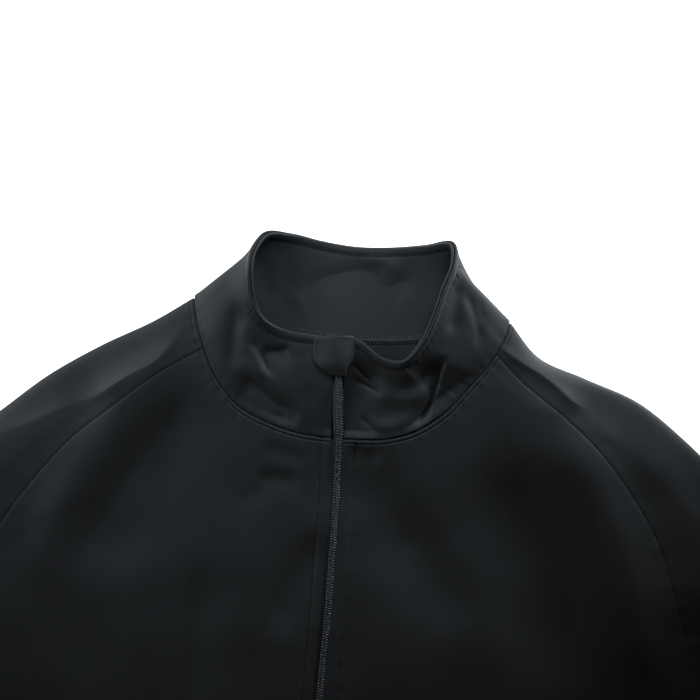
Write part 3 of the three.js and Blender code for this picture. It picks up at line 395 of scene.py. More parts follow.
def shell(name, p, material, out=None, inn=None, nrm=None, radius=CLOTH / 2):
    """A closed sheet of cloth on a grid of points, with rounded edges. out and inn are how far its faces stand from the points."""
    n = normals(p) if nrm is None else nrm
    out = np.full(p.shape[:2], CLOTH / 2) if out is None else out
    inn = np.full(p.shape[:2], -CLOTH / 2) if inn is None else inn
    mid, half = (out + inn) / 2, (out - inn) / 2
    run = np.minimum(np.minimum(edge_run(p, 0, False), edge_run(p, 0, True)), np.minimum(edge_run(p, 1, False), edge_run(p, 1, True)))
    q = np.clip(run / radius, 0, 1)
    half = half * np.sqrt(np.clip(1 - (1 - q) ** 2, 0, 1))
    top = p + n * (mid + half)[..., None]
    low = p + n * (mid - half)[..., None]
    r, c = p.shape[:2]
    idx = np.arange(r * c).reshape(r, c)
    inner = np.full((r, c), -1)
    inner[1:-1, 1:-1] = r * c + np.arange((r - 2) * (c - 2)).reshape(r - 2, c - 2)
    lowidx = np.where(inner >= 0, inner, idx)
    verts = np.concatenate([top.reshape(-1, 3), low[1:-1, 1:-1].reshape(-1, 3)])
    f1 = np.stack([idx[:-1, :-1], idx[1:, :-1], idx[1:, 1:], idx[:-1, 1:]], -1).reshape(-1, 4)
    f2 = np.stack([lowidx[:-1, :-1], lowidx[:-1, 1:], lowidx[1:, 1:], lowidx[1:, :-1]], -1).reshape(-1, 4)
    ob = make(name, verts, np.concatenate([f1, f2]).tolist(), material)
    return ob, top, low


FINE_EDGE = np.array([0, 0.05, 0.18, 0.38, 0.62])


def spaced(length, marks, step, lead=FINE_EDGE):
    """Positions from 0 to length: fine at both ends, and step apart in between. marks are (from, step) rows that change the step."""
    pos = list(lead)
    at = 1.3
    while at < length - 1.3 - 0.4 * step:
        pos.append(at)
        s = step
        for frm, st in marks:
            if at >= frm:
                s = st
        at += s
    pos += [length - v for v in reversed(lead.tolist() + [1.3])]
    return np.array(pos)


class Threads:
    """Many short lengths of sewing thread, joined in one mesh."""

    def __init__(self):
        self.v, self.f, self.count = [], [], 0

    def add(self, a, b, up, width=0.42, height=0.34, sides=6):
        a, b = np.asarray(a, float), np.asarray(b, float)
        t = b - a
        length = np.linalg.norm(t, axis=1, keepdims=True)
        t = t / length
        u = up - (up * t).sum(1, keepdims=True) * t
        u = u / np.maximum(np.linalg.norm(u, axis=1, keepdims=True), 1e-9)
        s = np.cross(t, u)
        ks = [0.0, 0.08, 0.3, 0.7, 0.92, 1.0]
        rs = [0.0, 0.62, 1.0, 1.0, 0.62, 0.0]
        arch = [0.0, 0.35, 0.85, 0.85, 0.35, 0.0]
        n = len(a)
        ang = np.arange(sides) * 2 * math.pi / sides
        base = self.count
        per = 2 + 4 * sides
        verts = np.empty((n, per, 3))
        verts[:, 0] = a - u * 0.12
        verts[:, 1] = b - u * 0.12
        for i in range(1, 5):
            c = a + t * length * ks[i] + u * (arch[i] * height * 0.8 - 0.12)
            for j in range(sides):
                verts[:, 2 + (i - 1) * sides + j] = c + rs[i] * (s * math.cos(ang[j]) * width / 2 + u * math.sin(ang[j]) * height / 2)
        faces = []
        for j in range(sides):
            k = (j + 1) % sides
            faces.append([0, 2 + k, 2 + j])
            faces.append([1, 2 + 3 * sides + j, 2 + 3 * sides + k])
        tri = np.array(faces)
        quad = np.array([[2 + i * sides + j, 2 + i * sides + (j + 1) % sides, 2 + (i + 1) * sides + (j + 1) % sides, 2 + (i + 1) * sides + j]
                         for i in range(3) for j in range(sides)])
        off = base + np.arange(n)[:, None, None] * per
        self.v.append(verts.reshape(-1, 3))
        self.f += (tri[None] + off).reshape(-1, 3).tolist()
        self.f += (quad[None] + off).reshape(-1, 4).tolist()
        self.count += n * per

    def run(self, pts, up, pitch=2.9, length=2.1, **kw):
        """Stitches along a polyline of surface points."""
        d = np.r_[0, np.cumsum(np.linalg.norm(np.diff(pts, axis=0), axis=1))]
        s = np.arange(0.6, d[-1] - length, pitch)
        at = lambda q, arr: np.stack([np.interp(q, d, arr[:, k]) for k in range(3)], 1)
        if len(s):
            self.add(at(s, pts), at(s + length, pts), at(s + length / 2, up), **kw)

    def build(self, name, material):
        return make(name, np.concatenate(self.v), self.f, material)


# ---------------------------------------------------------------- materials
def new_material(name):
    m = bpy.data.materials.new(name)
    m.use_nodes = True
    nt = m.node_tree
    return m, nt, nt.nodes["Principled BSDF"], nt.nodes, nt.links


def cloth_material(name, color, rough=0.62, sheen=0.06, weave=0.55, weave_depth=0.25, cloud=0.12, specular=0.3):
    """Woven cloth: fine weave as bump, faint cloudiness of its colour, soft sheen. weave is the pitch in millimetres."""
    m, nt, bsdf, nodes, links = new_material(name)
    tc = nodes.new("ShaderNodeTexCoord")
    big = nodes.new("ShaderNodeTexNoise")
    big.inputs["Scale"].default_value = 38
    big.inputs["Detail"].default_value = 3
    links.new(tc.outputs["Object"], big.inputs["Vector"])
    small = nodes.new("ShaderNodeTexNoise")
    small.inputs["Scale"].default_value = 900
    small.inputs["Detail"].default_value = 2
    links.new(tc.outputs["Object"], small.inputs["Vector"])
    ramp = nodes.new("ShaderNodeValToRGB")
    ramp.color_ramp.elements[0].position = 0.3
    ramp.color_ramp.elements[1].position = 0.7
    lo = [c * (1 - cloud) for c in color] + [1]
    hi = [c * (1 + cloud) for c in color] + [1]
    ramp.color_ramp.elements[0].color = lo
    ramp.color_ramp.elements[1].color = hi
    links.new(big.outputs["Fac"], ramp.inputs["Fac"])
    fleck = nodes.new("ShaderNodeMix")
    fleck.data_type = "RGBA"
    fleck.blend_type = "MULTIPLY"
    fleck.inputs["Factor"].default_value = 0.25
    links.new(ramp.outputs["Color"], fleck.inputs[6])
    links.new(small.outputs["Fac"], fleck.inputs[7])
    links.new(fleck.outputs[2], bsdf.inputs["Base Color"])
    rr = nodes.new("ShaderNodeMapRange")
    rr.inputs["To Min"].default_value = rough - 0.06
    rr.inputs["To Max"].default_value = rough + 0.06
    links.new(big.outputs["Fac"], rr.inputs["Value"])
    links.new(rr.outputs["Result"], bsdf.inputs["Roughness"])
    waves = []
    for axis in ("X", "Y"):
        w = nodes.new("ShaderNodeTexWave")
        w.wave_type = "BANDS"
        w.bands_direction = axis
        w.inputs["Scale"].default_value = 1000 / weave / (2 * math.pi) * 2
        w.inputs["Distortion"].default_value = 0.6
        w.inputs["Detail"].default_value = 0
        w.inputs["Detail Scale"].default_value = 1.0
        links.new(tc.outputs["Object"], w.inputs["Vector"])
        waves.append(w)
    mul = nodes.new("ShaderNodeMath")
    mul.operation = "MAXIMUM"
    links.new(waves[0].outputs["Fac"], mul.inputs[0])
    links.new(waves[1].outputs["Fac"], mul.inputs[1])
    add = nodes.new("ShaderNodeMath")
    add.operation = "MULTIPLY_ADD"
    links.new(small.outputs["Fac"], add.inputs[0])
    add.inputs[1].default_value = 0.6
    links.new(mul.outputs[0], add.inputs[2])
    bmp = nodes.new("ShaderNodeBump")
    bmp.inputs["Strength"].default_value = weave_depth
    bmp.inputs["Distance"].default_value = 0.00012
    links.new(add.outputs[0], bmp.inputs["Height"])
    links.new(bmp.outputs["Normal"], bsdf.inputs["Normal"])
    bsdf.inputs["Sheen Weight"].default_value = sheen
    bsdf.inputs["Sheen Roughness"].default_value = 0.5
    bsdf.inputs["Sheen Tint"].default_value = (0.86, 0.94, 1.0, 1)
    bsdf.inputs["Specular IOR Level"].default_value = specular
    bsdf.inputs["Specular Tint"].default_value = (0.88, 0.97, 1.0, 1)
    return m


def plain_material(name, color, rough, metallic=0.0, specular=0.4, scale=600, depth=0.1, distance=0.00008):
    """Nylon, thread or painted metal with fine unevenness."""
    m, nt, bsdf, nodes, links = new_material(name)
    tc = nodes.new("ShaderNodeTexCoord")
    noise = nodes.new("ShaderNodeTexNoise")
    noise.inputs["Scale"].default_value = scale
    noise.inputs["Detail"].default_value = 3
    links.new(tc.outputs["Object"], noise.inputs["Vector"])
    ramp = nodes.new("ShaderNodeValToRGB")
    ramp.color_ramp.elements[0].color = [c * 0.8 for c in color] + [1]
    ramp.color_ramp.elements[1].color = [c * 1.2 for c in color] + [1]
    links.new(noise.outputs["Fac"], ramp.inputs["Fac"])
    links.new(ramp.outputs["Color"], bsdf.inputs["Base Color"])
    rr = nodes.new("ShaderNodeMapRange")
    rr.inputs["To Min"].default_value = rough - 0.08
    rr.inputs["To Max"].default_value = rough + 0.08
    links.new(noise.outputs["Fac"], rr.inputs["Value"])
    links.new(rr.outputs["Result"], bsdf.inputs["Roughness"])
    bmp = nodes.new("ShaderNodeBump")
    bmp.inputs["Strength"].default_value = depth
    bmp.inputs["Distance"].default_value = distance
    links.new(noise.outputs["Fac"], bmp.inputs["Height"])
    links.new(bmp.outputs["Normal"], bsdf.inputs["Normal"])
    bsdf.inputs["Metallic"].default_value = metallic
    bsdf.inputs["Specular IOR Level"].default_value = specular
    return m


SHELL_COLOR = (0.0064, 0.0072, 0.0080)
m_shell = cloth_material("shell_cloth", SHELL_COLOR)
# the collar's inner ply: the shell colour made 2.25 times lighter, painted light that lifts the collar's inner face
# where its rims shade it
m_inner_painted_light = cloth_material("collar_lining", tuple(c * 2.25 for c in SHELL_COLOR), weave=0.45)
# zip tapes: about three times the shell's colour, painted light that lifts the tape where the folded front edges shade
# it
m_tape_painted_light = cloth_material("zip_tape_weave", (0.022, 0.024, 0.026), weave=0.8, weave_depth=0.5, sheen=0.1)
m_coil = plain_material("zip_nylon", (0.042, 0.046, 0.052), 0.28, specular=0.6)
m_thread = plain_material("thread", (0.007, 0.008, 0.009), 0.8, specular=0.12, scale=1500, depth=0.3)
m_zig = plain_material("thread_neck", (0.05, 0.055, 0.06), 0.6, specular=0.35, scale=1500, depth=0.3)
m_metal = plain_material("zip_painted_metal", (0.02, 0.021, 0.023), 0.38, metallic=0.6)
m_box = plain_material("zip_box_nylon", (0.012, 0.013, 0.014), 0.45)

INSET = 0.03
NEXT_TO_NECK = [0.95, 1.65, 2.05, 2.45, 2.85, 3.25, 3.6, 4.5, 5.3]


def unit(v):
    return v / np.maximum(np.linalg.norm(v, axis=-1, keepdims=True), 1e-9)


# ---------------------------------------------------------------- sleeves
def head_curves(side):
    if side < 0:
        return (lambda q: neck_right(neck_right.at[5] + (neck_right.at[7] - neck_right.at[5]) * q),
                lambda q: neck_back(neck_back.at[1] * (1 - q)))
    return (lambda q: neck_left(neck_left.at[5] + (neck_left.at[7] - neck_left.at[5]) * q),
            lambda q: neck_back(neck_back.at[7] + (neck_back.at[8] - neck_back.at[7]) * q))


def sleeve(name, curve, side):
    t = np.unique(np.r_[spaced(curve.length, [(240, 5.0), (360, 6.5)], 2.6), NEXT_TO_NECK])
    s = curve(t)
    front, fold, back = s[:, 0:2], s[:, 2:4], s[:, 4:6]
    arm = curve.at[UNDERARM]
    raglan = t < arm
    back = np.where(raglan[:, None], back, front)
    layers = []
    heads = head_curves(side)
    bowed = np.clip(1 - t / curve.at[2], 0, 1)[:, None]
    for k, e in enumerate((front, back)):
        d = unit(fold - e)
        # under the front's seams the back's sleeve edge closes the slit
        a = e + d * (INSET if k == 0 else np.where(raglan, -0.08, INSET)[:, None])
        w = np.linalg.norm(fold - a, axis=1)
        lead = np.array([0, 0.05, 0.18, 0.38, 0.62, 1.2, 2.2])
        tail_ = np.array([0, 0.15, 0.5, 1.1, 2.0, 3.2, 4.8, 7, 10, 14])
        count = 44 if k == 0 else 22
        inner = np.linspace(0, 1, count + 2)[1:-1]
        # positions in millimetres from the edge, for each section
        tails = tail_[None] * np.clip(w / 42, 0.1, 1)[:, None]
        base = lead[-1] + (w - lead[-1] - tails[:, -1])[:, None] * inner[None]
        pos = np.concatenate([np.repeat(lead[None], len(w), 0), base, w[:, None] - tails[:, ::-1]], 1)
        assert (np.diff(pos, axis=1) > 0).all()
        q = pos / w[:, None]
        xy = a[:, None] + (fold - a)[:, None] * q[..., None]
        h = heads[k](q)
        h0, h1 = heads[k](np.zeros(len(w))), heads[k](np.ones(len(w)))
        xy = xy + bowed[:, None] * (h - (h0[:, None] + (h1 - h0)[:, None] * q[..., None]))
        z = upper(xy[..., 0], xy[..., 1]) if k == 0 else lower(xy[..., 0], xy[..., 1])
        layers.append(np.concatenate([xy, z[..., None]], 2))
    p = np.concatenate([layers[0], layers[1][:, :-1][:, ::-1]], 1)
    if side < 0:
        p = p[:, ::-1]
    return shell(name, p, m_shell, radius=0.3)


right_sleeve, _, _ = sleeve("sleeve_right_cloth", arm_right, -1)
left_sleeve, _, _ = sleeve("sleeve_left_cloth", arm_left, 1)


# ---------------------------------------------------------------- fronts and back
def outer_edge(curve, side_curve, col, v, share):
    """The raglan seam for v up to share, then the side seam."""
    a = np.clip(v / share, 0, 1) * curve.at[UNDERARM]
    s = curve(a)
    e, fold = s[:, col:col + 2], s[:, 2:4]
    rag = e - unit(fold - e) * INSET
    b = side_curve(np.clip((v - share) / (1 - share), 0, 1) * side_curve.length)
    return np.where((v <= share)[:, None], rag, b)


def coons(left, right, top, bottom, u, v):
    """Surface between four edges. left and right follow v, top and bottom are functions of u; u may differ from row to row."""
    v = v[:, None, None]
    u3 = u[..., None]
    t, b = top(u), bottom(u)
    t0, t1 = top(np.zeros(1))[0], top(np.ones(1))[0]
    b0, b1 = bottom(np.zeros(1))[0], bottom(np.ones(1))[0]
    return (left[:, None] * (1 - u3) + right[:, None] * u3 + t * (1 - v) + b * v
            - ((t0 * (1 - u3) + t1 * u3) * (1 - v) + (b0 * (1 - u3) + b1 * u3) * v))


def front(name, neck, curve, side_curve, slot, sign):
    rows = np.unique(np.r_[spaced(625, [(205, 4.0), (320, 6.5)], 2.6), NEXT_TO_NECK]) / 625
    share = 0.40
    # rows stand at the same depth at the zip and about so at the raglan seam
    y = -1 - INSET + (HEM_Y + 1 + INSET) * rows
    left = np.stack([zip_x(y) + slot, y], 1)
    right = outer_edge(curve, side_curve, 0, rows, share)
    n_end = neck.at[5]
    if sign < 0:
        left = left + np.array([1.0, 0.0]) * (1.5 * bump(np.clip((-6 - left[:, 1:2]) / 60, 0, 1)))

    def top(u):
        p = neck(np.asarray(u) * n_end)[..., :2]
        p0, p1 = neck(np.array(0.0)), neck(np.array(n_end))
        u = np.asarray(u)[..., None]
        p = p + (left[0] - p0) * (1 - u) + (right[0] - p1) * u
        return p

    def bottom(u):
        u = np.asarray(u)[..., None]
        q = bump(u)
        return np.concatenate([left[-1][0] + (right[-1][0] - left[-1][0]) * u, left[-1][1] + (right[-1][1] - left[-1][1]) * q], -1)

    w = np.linalg.norm(right - left, axis=1)
    lead = np.array([0, 0.05, 0.18, 0.38, 0.62, 1.3, 2.4, 3.6, 5.0, 6.0, 6.7, 7.3, 8.0, 9.2, 11.0])
    end = np.array([0, 0.05, 0.18, 0.38, 0.62, 1.2, 2.2, 3.6, 5.4])
    inner = np.linspace(0, 1, 84)[1:-1]
    base = lead[-1] + (w[:, None] - lead[-1] - end[-1]) * inner[None]
    pos = np.concatenate([np.repeat(lead[None], len(w), 0), base, w[:, None] - end[::-1][None]], 1)
    u = pos / w[:, None]
    xy = coons(left, right, top, bottom, u, rows)
    z = upper(xy[..., 0], xy[..., 1])
    p = np.concatenate([xy, z[..., None]], 2)
    if sign < 0:
        p = p[:, ::-1]
    return shell(name, p, m_shell, radius=0.3)


right_front, rf_top, _ = front("front_right_cloth", neck_right, arm_right, side_right, SLOT_RIGHT + 0.1, -1)
left_front, lf_top, _ = front("front_left_cloth", neck_left, arm_left, side_left, SLOT_LEFT - 0.3, 1)


def back():
    rows = spaced(700, [(30, 6.5)], 2.5) / 700
    left = outer_edge(arm_right, side_right, 4, rows, 0.37)
    right = outer_edge(arm_left, side_left, 4, rows, 0.37)

    def top(u):
        u = np.asarray(u)
        p = neck_back(neck_back.at[1] + (neck_back.at[7] - neck_back.at[1]) * u)[..., :2] - np.array([0, INSET])
        q = u[..., None]
        p0 = neck_back(np.array(neck_back.at[1])) - np.array([0, INSET])
        p1 = neck_back(np.array(neck_back.at[7])) - np.array([0, INSET])
        return p + (left[0] - p0) * (1 - q) + (right[0] - p1) * q

    def bottom(u):
        return tail(np.asarray(u) * tail.length)[..., :2]

    w = np.linalg.norm(right - left, axis=1)
    end = np.array([0, 0.05, 0.18, 0.38, 0.62, 1.2, 2.2, 3.6, 5.6])
    inner = np.linspace(0, 1, 66)[1:-1]
    base = end[-1] + (w[:, None] - 2 * end[-1]) * inner[None]
    pos = np.concatenate([np.repeat(end[None], len(w), 0), base, w[:, None] - end[::-1][None]], 1)
    xy = coons(left, right, top, bottom, pos / w[:, None], rows)
    z = lower(xy[..., 0], xy[..., 1])
    return shell("back_cloth", np.concatenate([xy, z[..., None]], 2), m_shell)


back_piece, back_top, _ = back()

# ---------------------------------------------------------------- collar
neck_total = neck_right.length + neck_back.length + neck_left.length


def seam_point(share):
    share = np.asarray(share, float)
    t = share * neck_total
    a = neck_right(t)
    b = neck_back(t - neck_right.length)
    c = neck_left(neck_left.length - (t - neck_right.length - neck_back.length))
    first, second = t <= neck_right.length, t <= neck_right.length + neck_back.length
    xy = np.where(first[..., None], a, np.where(second[..., None], b, c))
    za = upper(xy[..., 0], xy[..., 1], fine=False)
    zb = lower(xy[..., 0], xy[..., 1])
    z = np.where(first | ~second, za - 0.35, zb)
    return np.concatenate([xy, np.maximum(z, PLIES / 2 + 0.1)[..., None]], -1)


def collar_surface(share, s):
    """Middle between the collar's layers: rows s from the seam to the top edge, columns share round the neck."""
    seam = seam_point(share)
    row = collar_rows(share)
    rim = row[:, 0:3]
    flat = rim - seam
    flat[:, 2] = 0
    flat = unit(flat)
    lean, edge = np.radians(row[:, 3]), np.radians(row[:, 4])
    ahead = seam_point(np.minimum(1, share + 0.004)) - seam_point(np.maximum(0, share - 0.004))
    ahead[:, 2] = 0
    ahead = unit(ahead)
    across = np.maximum(0.45, np.abs(ahead[:, 0] * flat[:, 1] - ahead[:, 1] * flat[:, 0]))
    seam = seam + flat * ((0.25 + PLIES / 2 * np.sin(lean)) / across)[:, None]
    up = np.array([0, 0, 1.0])
    a = seam + (flat * np.cos(lean)[:, None] + up * np.sin(lean)[:, None]) * COLLAR_HANDLE
    b = rim - (flat * np.cos(edge)[:, None] + up * np.sin(edge)[:, None]) * COLLAR_HANDLE
    s = np.asarray(s)
    if s.ndim == 1:
        s = s[:, None]
    s = s[..., None]
    q = 1 - s
    return seam * q**3 + a * 3 * q * q * s + b * 3 * q * s * s + rim * s**3


# positions round the neck, closer together at the side folds and at the ends
def around_positions():
    t = spaced(neck_total, [], 1.35, lead=FINE_EDGE)
    extra = []
    for c in (neck_right.length, neck_right.length + neck_back.length):
        extra += list(c + np.arange(-9, 9.1, 0.9))
    t = np.unique(np.round(np.r_[t, extra], 4))
    keep = [0]
    for i in range(1, len(t)):
        if t[i] - t[keep[-1]] > 0.04:
            keep.append(i)
    return t[keep] / neck_total


around = around_positions()
up_mm = spaced(64, [], 1.15)
pc = collar_surface(around, up_mm / 64)
run = edge_run(pc, 0, True)  # distance below the top edge
base_n = normals(pc)
# blend from the fronts to the back, where the outer face lies below
front_side = np.clip((0.345 - around) / 0.05, 0, 1) + np.clip((around - 0.655) / 0.05, 0, 1)
outer_relief = crease_height(COLLAR_FOLDS, pc[..., 0], pc[..., 1]) * bump(np.clip(front_side, 0, 1))[None]
inner_relief = crease_height(INNER_FOLDS, pc[..., 0], pc[..., 1]) * bump(np.clip(1 - front_side, 0, 1))[None]
from_seam = edge_run(pc, 0, False)
fade = np.clip(from_seam / 5.5, 0, 1) * np.clip(run / 7, 0, 1)
seam_puck = 0.12 * wobble(around * neck_total, 8.0, 2.0)[None] * np.exp(-(((from_seam - 2.5) / 3.5) ** 2))
rim_puck = 0.14 * wobble(around * neck_total, 7.0, 4.0)[None] * np.exp(-(((run - 6.5) / 3.0) ** 2))
wave = 0.22 * unrest(pc[..., 0] * 1.5, pc[..., 1] * 1.5 + pc[..., 2])
move = (outer_relief - inner_relief) * bump(fade) + (seam_puck + rim_puck) + wave * bump(fade)
slide = np.zeros(pc.shape)
for path, wall, hold, amount in COLLAR_LEANS:
    line = dense(path, 1.0)
    d, t, side = nearest([line], pc[..., 0], pc[..., 1])
    east = nearest([line], pc[..., 0] + 0.3, pc[..., 1])[0] - nearest([line], pc[..., 0] - 0.3, pc[..., 1])[0]
    north = nearest([line], pc[..., 0], pc[..., 1] + 0.3)[0] - nearest([line], pc[..., 0], pc[..., 1] - 0.3)[0]
    pull = amount * bump(np.clip(t / 0.25, 0, 1)) * bump(np.clip((1 - t) / 0.25, 0, 1)) * np.clip(d / wall, 0, 1) * np.exp(-np.maximum(0, d - wall) / hold) * (side > 0)
    pull = pull * bump(fade) * bump(np.clip(front_side, 0, 1))[None]
    slide[..., 0] -= pull * east / 0.6
    slide[..., 1] -= pull * north / 0.6
# the outer ply is on the side of the normal in front, and the inner ply is what is seen at the back
pm = pc + slide + base_n * move[..., None]
# the left end lies against the coil below the guard, and the right end a little closer to it
beside_coil = bump(np.clip((pc[..., 1] - 1) / 20, 0, 1)) * (1 - bump(np.clip((pc[..., 1] - 44) / 10, 0, 1)))
pm[..., 0] -= 1.6 * beside_coil * np.exp(-((edge_run(pc, 1, True) / 6) ** 2))
pm[..., 0] += 0.5 * beside_coil * np.exp(-((edge_run(pc, 1, False) / 6) ** 2))
# lower limit: the back of the collar doesn't go through the table
band = np.exp(-((run / 5.2) ** 6)) * 0.75 - 0.35 * np.exp(-(((run - 5.8) / 0.8) ** 2))
out_face = PLIES / 2 + band
in_face = -PLIES / 2 - band
ply = PLY_GAP / 2
low_z = (pm - base_n * 0)[..., 2]
nz = base_n[..., 2]
# keep the lowest face above the table
under = np.maximum(0, 0.06 + np.maximum(-nz, 0) * np.abs(out_face) + np.maximum(nz, 0) * np.abs(in_face) - pm[..., 2])
pm[..., 2] += under
collar_n = normals(pm)
edge_radius = 0.45 + 0.55 * np.clip(from_seam / 6, 0, 1)
outer_collar, co_top, co_low = shell("collar_outer_cloth", pm, m_shell, out=out_face, inn=np.full_like(out_face, ply), nrm=collar_n, radius=edge_radius)
inner_collar, ci_top, ci_low = shell("collar_inner_cloth", pm, m_inner_painted_light, out=np.full_like(out_face, -ply), inn=in_face, nrm=collar_n, radius=edge_radius)

# ---------------------------------------------------------------- zip
TAPE_DROP = CLOTH / 2 + 0.12 + TAPE / 2
COIL_FOOT = TAPE / 2 + 0.45
ends = (collar_surface(np.array([0.0, 1.0]), np.linspace(0, 1, 61)))
end_y, end_z = ends[..., 1].mean(1), ends[..., 2].mean(1)


def zip_height(x, y):
    x, y = np.asarray(x, float), np.asarray(y, float)
    below = upper(x, y, fine=False) - TAPE_DROP
    above = np.interp(y, end_y, end_z)
    return np.where(y < -6, below, below + (above - below) * bump(np.clip((y + 6) / 12, 0, 1)))


def zip_tape(name, side):
    y = np.r_[64.6 - FINE_EDGE, np.arange(63, 5, -2.0), np.arange(5, -8, -1.0), np.arange(-8, -200, -4.0), np.arange(-200, HEM_Y + 14, -8.0), HEM_Y + 13 + FINE_EDGE[::-1]]
    y = -np.unique(-np.round(y, 3))
    wide = np.where(y < -5, TAPE_WIDTH, np.where(y > -3, 4.1 if side < 0 else 2.4, 8.0))
    near = np.where(y > 52, 1.4, 0.4)
    q = np.array([0, 0.01, 0.04, 0.1, 0.3, 0.5, 0.7, 0.9, 0.96, 0.99, 1])
    x = zip_x(y)[:, None] + side * (near[:, None] + (wide - near)[:, None] * q)
    yy = np.repeat(y[:, None], len(q), 1)
    p = np.stack([x, yy, zip_height(x, yy)], 2)
    if side < 0:
        p = p[:, ::-1]
    h = np.full(p.shape[:2], TAPE / 2)
    return shell(name, p, m_tape_painted_light, out=h, inn=-h, radius=TAPE / 2)[0]


tape_r = zip_tape("zip_tape_right_cloth", -1)
tape_l = zip_tape("zip_tape_left_cloth", 1)


def teeth():
    """Two rows of nylon loops that mesh in the middle, each a short bent bead."""
    top, low, pitch = 51.6, HEM_Y + 13.2, 1.75
    n = int((top - low) / pitch)
    y = top - pitch * np.arange(n)
    verts, faces = [], []
    sides, rings = 6, 7
    per = sides * rings + 2
    tri, quad = [], []
    for j in range(sides):
        k = (j + 1) % sides
        tri.append([0, 2 + k, 2 + j])
        tri.append([1, 2 + (rings - 1) * sides + j, 2 + (rings - 1) * sides + k])
    for i in range(rings - 1):
        for j in range(sides):
            k = (j + 1) % sides
            quad.append([2 + i * sides + j, 2 + i * sides + k, 2 + (i + 1) * sides + k, 2 + (i + 1) * sides + j])
    tri, quad = np.array(tri), np.array(quad)
    count = 0
    for side in (-1, 1):
        yy = y - (pitch / 2 if side > 0 else 0)
        cx = zip_x(yy)
        cz = zip_height(cx, yy) + COIL_FOOT
        # from the head in the middle over the top to the outer edge
        path = [(-0.42, 0.55), (0.02, 1.0), (0.55, 1.2), (1.15, 1.18), (1.7, 0.98), (2.05, 0.66), (2.15, 0.35)]
        rad = [0.30, 0.46, 0.42, 0.40, 0.42, 0.44, 0.34]
        v = np.empty((n, per, 3))
        lean = 0.16 * side
        for i, ((px, pz), r) in enumerate(zip(path, rad)):
            for j in range(sides):
                a = j * 2 * math.pi / sides
                v[:, 2 + i * sides + j, 0] = cx + side * px + side * r * 0.55 * math.cos(a) * (1 if i in (0, 6) else 0.2)
                v[:, 2 + i * sides + j, 1] = yy + lean * px + 0.78 * r * math.sin(a) * side
                v[:, 2 + i * sides + j, 2] = cz + pz + r * 0.8 * math.cos(a) * (0.3 if i in (0, 6) else 1)
        v[:, 0] = np.stack([cx - side * 0.62, yy - lean * 0.6, cz + 0.5], 1)
        v[:, 1] = np.stack([cx + side * 2.28, yy + lean * 2.28, cz + 0.2], 1)
        off = count + np.arange(n)[:, None, None] * per
        faces += (tri[None] + off).reshape(-1, 3).tolist()
        faces += (quad[None] + off).reshape(-1, 4).tolist()
        verts.append(v.reshape(-1, 3))
        count += n * per
    return make("zip_coil_teeth", np.concatenate(verts), faces, m_coil)


coil = teeth()


def fix_normals(ob):
    import bmesh

    bm = bmesh.new()
    bm.from_mesh(ob.data)
    bmesh.ops.recalc_face_normals(bm, faces=bm.faces)
    bm.to_mesh(ob.data)
    bm.free()


fix_normals(coil)

# guard over the top of the zip
g = np.array(GUARD, float)
guard_rows = Track([r[1:] for r in GUARD], at=[-r[0] for r in GUARD])
gy = g[0, 0] - spaced(g[0, 0] - g[-1, 0], [], 0.9)
sides_ = guard_rows(-gy)
# on the right it runs on over the collar's folded edge
sides_[:, 1] += 4.5 * bump(np.clip((gy - 45) / 11, 0, 1))
lead = np.array([0, 0.05, 0.18, 0.38, 0.62, 1.2])
gw = sides_[:, 1] - sides_[:, 0]
inner = np.linspace(0, 1, 28)[1:-1]
gpos = np.concatenate([np.repeat(lead[None], len(gy), 0), lead[-1] + (gw[:, None] - 2 * lead[-1]) * inner[None], gw[:, None] - lead[::-1][None]], 1)
gx = sides_[:, :1] + gpos
gyy = np.repeat(gy[:, None], gx.shape[1], 1)
zc = zip_x(gyy)
near_zip = collar_surface(np.linspace(0, 0.075, 13), np.linspace(0, 1, 41)).reshape(-1, 3)
dist = (gx.reshape(-1, 1) - near_zip[:, 0]) ** 2 + (gyy.reshape(-1, 1) - near_zip[:, 1]) ** 2
order = np.argsort(dist, 1)[:, :4]
wts = 1 / (np.take_along_axis(dist, order, 1) + 0.4)
ground = (near_zip[order][..., 2] * wts).sum(1) / wts.sum(1)
ground = np.maximum(ground.reshape(gx.shape), zip_height(gx, gyy))
bar_top = COIL_FOOT + COIL_HEIGHT + SEAM + 0.7 + 0.25 + 0.8 + 0.25 + 0.8
dome_top = bar_top + SEAM + CLOTH / 2 + 0.15
rest_ = PLIES / 2 + SEAM + CLOTH / 2 + 0.15
sd = np.where(gx < zc, np.clip((zc - 3.6 - gx) / 15, 0, 1), np.clip((gx - zc - 3.4) / 4.6, 0, 1))
en = np.where(gyy < 50.5, np.clip((50.5 - 3.0 - gyy) / 9, 0, 1), np.clip((gyy - 58.5) / 9, 0, 1) * 0.35)
dome = (1 - bump(sd)) * (1 - bump(en))
lowz = np.maximum(rest_, (1 - bump(sd)) * (COIL_FOOT + COIL_HEIGHT + SEAM + CLOTH / 2 + 0.1))
gz = ground + lowz + (dome_top - lowz) * dome
gz = gz - 1.0 * bump(np.clip((gx - zc - 3.8) / 3.5, 0, 1))
gp = np.stack([gx, gyy, gz], 2)
# soften the steps of the form underneath
for _ in range(14):
    gp[1:-1, 1:-1, 2] += 0.25 * (gp[2:, 1:-1, 2] + gp[:-2, 1:-1, 2] + gp[1:-1, 2:, 2] + gp[1:-1, :-2, 2] - 4 * gp[1:-1, 1:-1, 2])
guard, guard_top, _ = shell("zip_guard_cloth", gp, m_shell)

for name in ("zip_slider", "zip_pull"):
    ob = frame["nodes"][name] if not isinstance(frame["nodes"], list) else bpy.data.objects[name]
    ob = ob if hasattr(ob, "data") else bpy.data.objects[name]
    ob.data.materials.clear()
    ob.data.materials.append(m_metal)
ob = bpy.data.objects["zip_box"]
ob.data.materials.clear()
ob.data.materials.append(m_box)

# ---------------------------------------------------------------- stitching
UP = np.array([0.0, 0.0, 1.0])


def on_top(xy, lift=0.6):
    z = upper(xy[:, 0], xy[:, 1]) + lift
    return np.concatenate([xy, z[:, None]], 1)


def ups(p):
    return np.repeat(UP[None], len(p), 0)


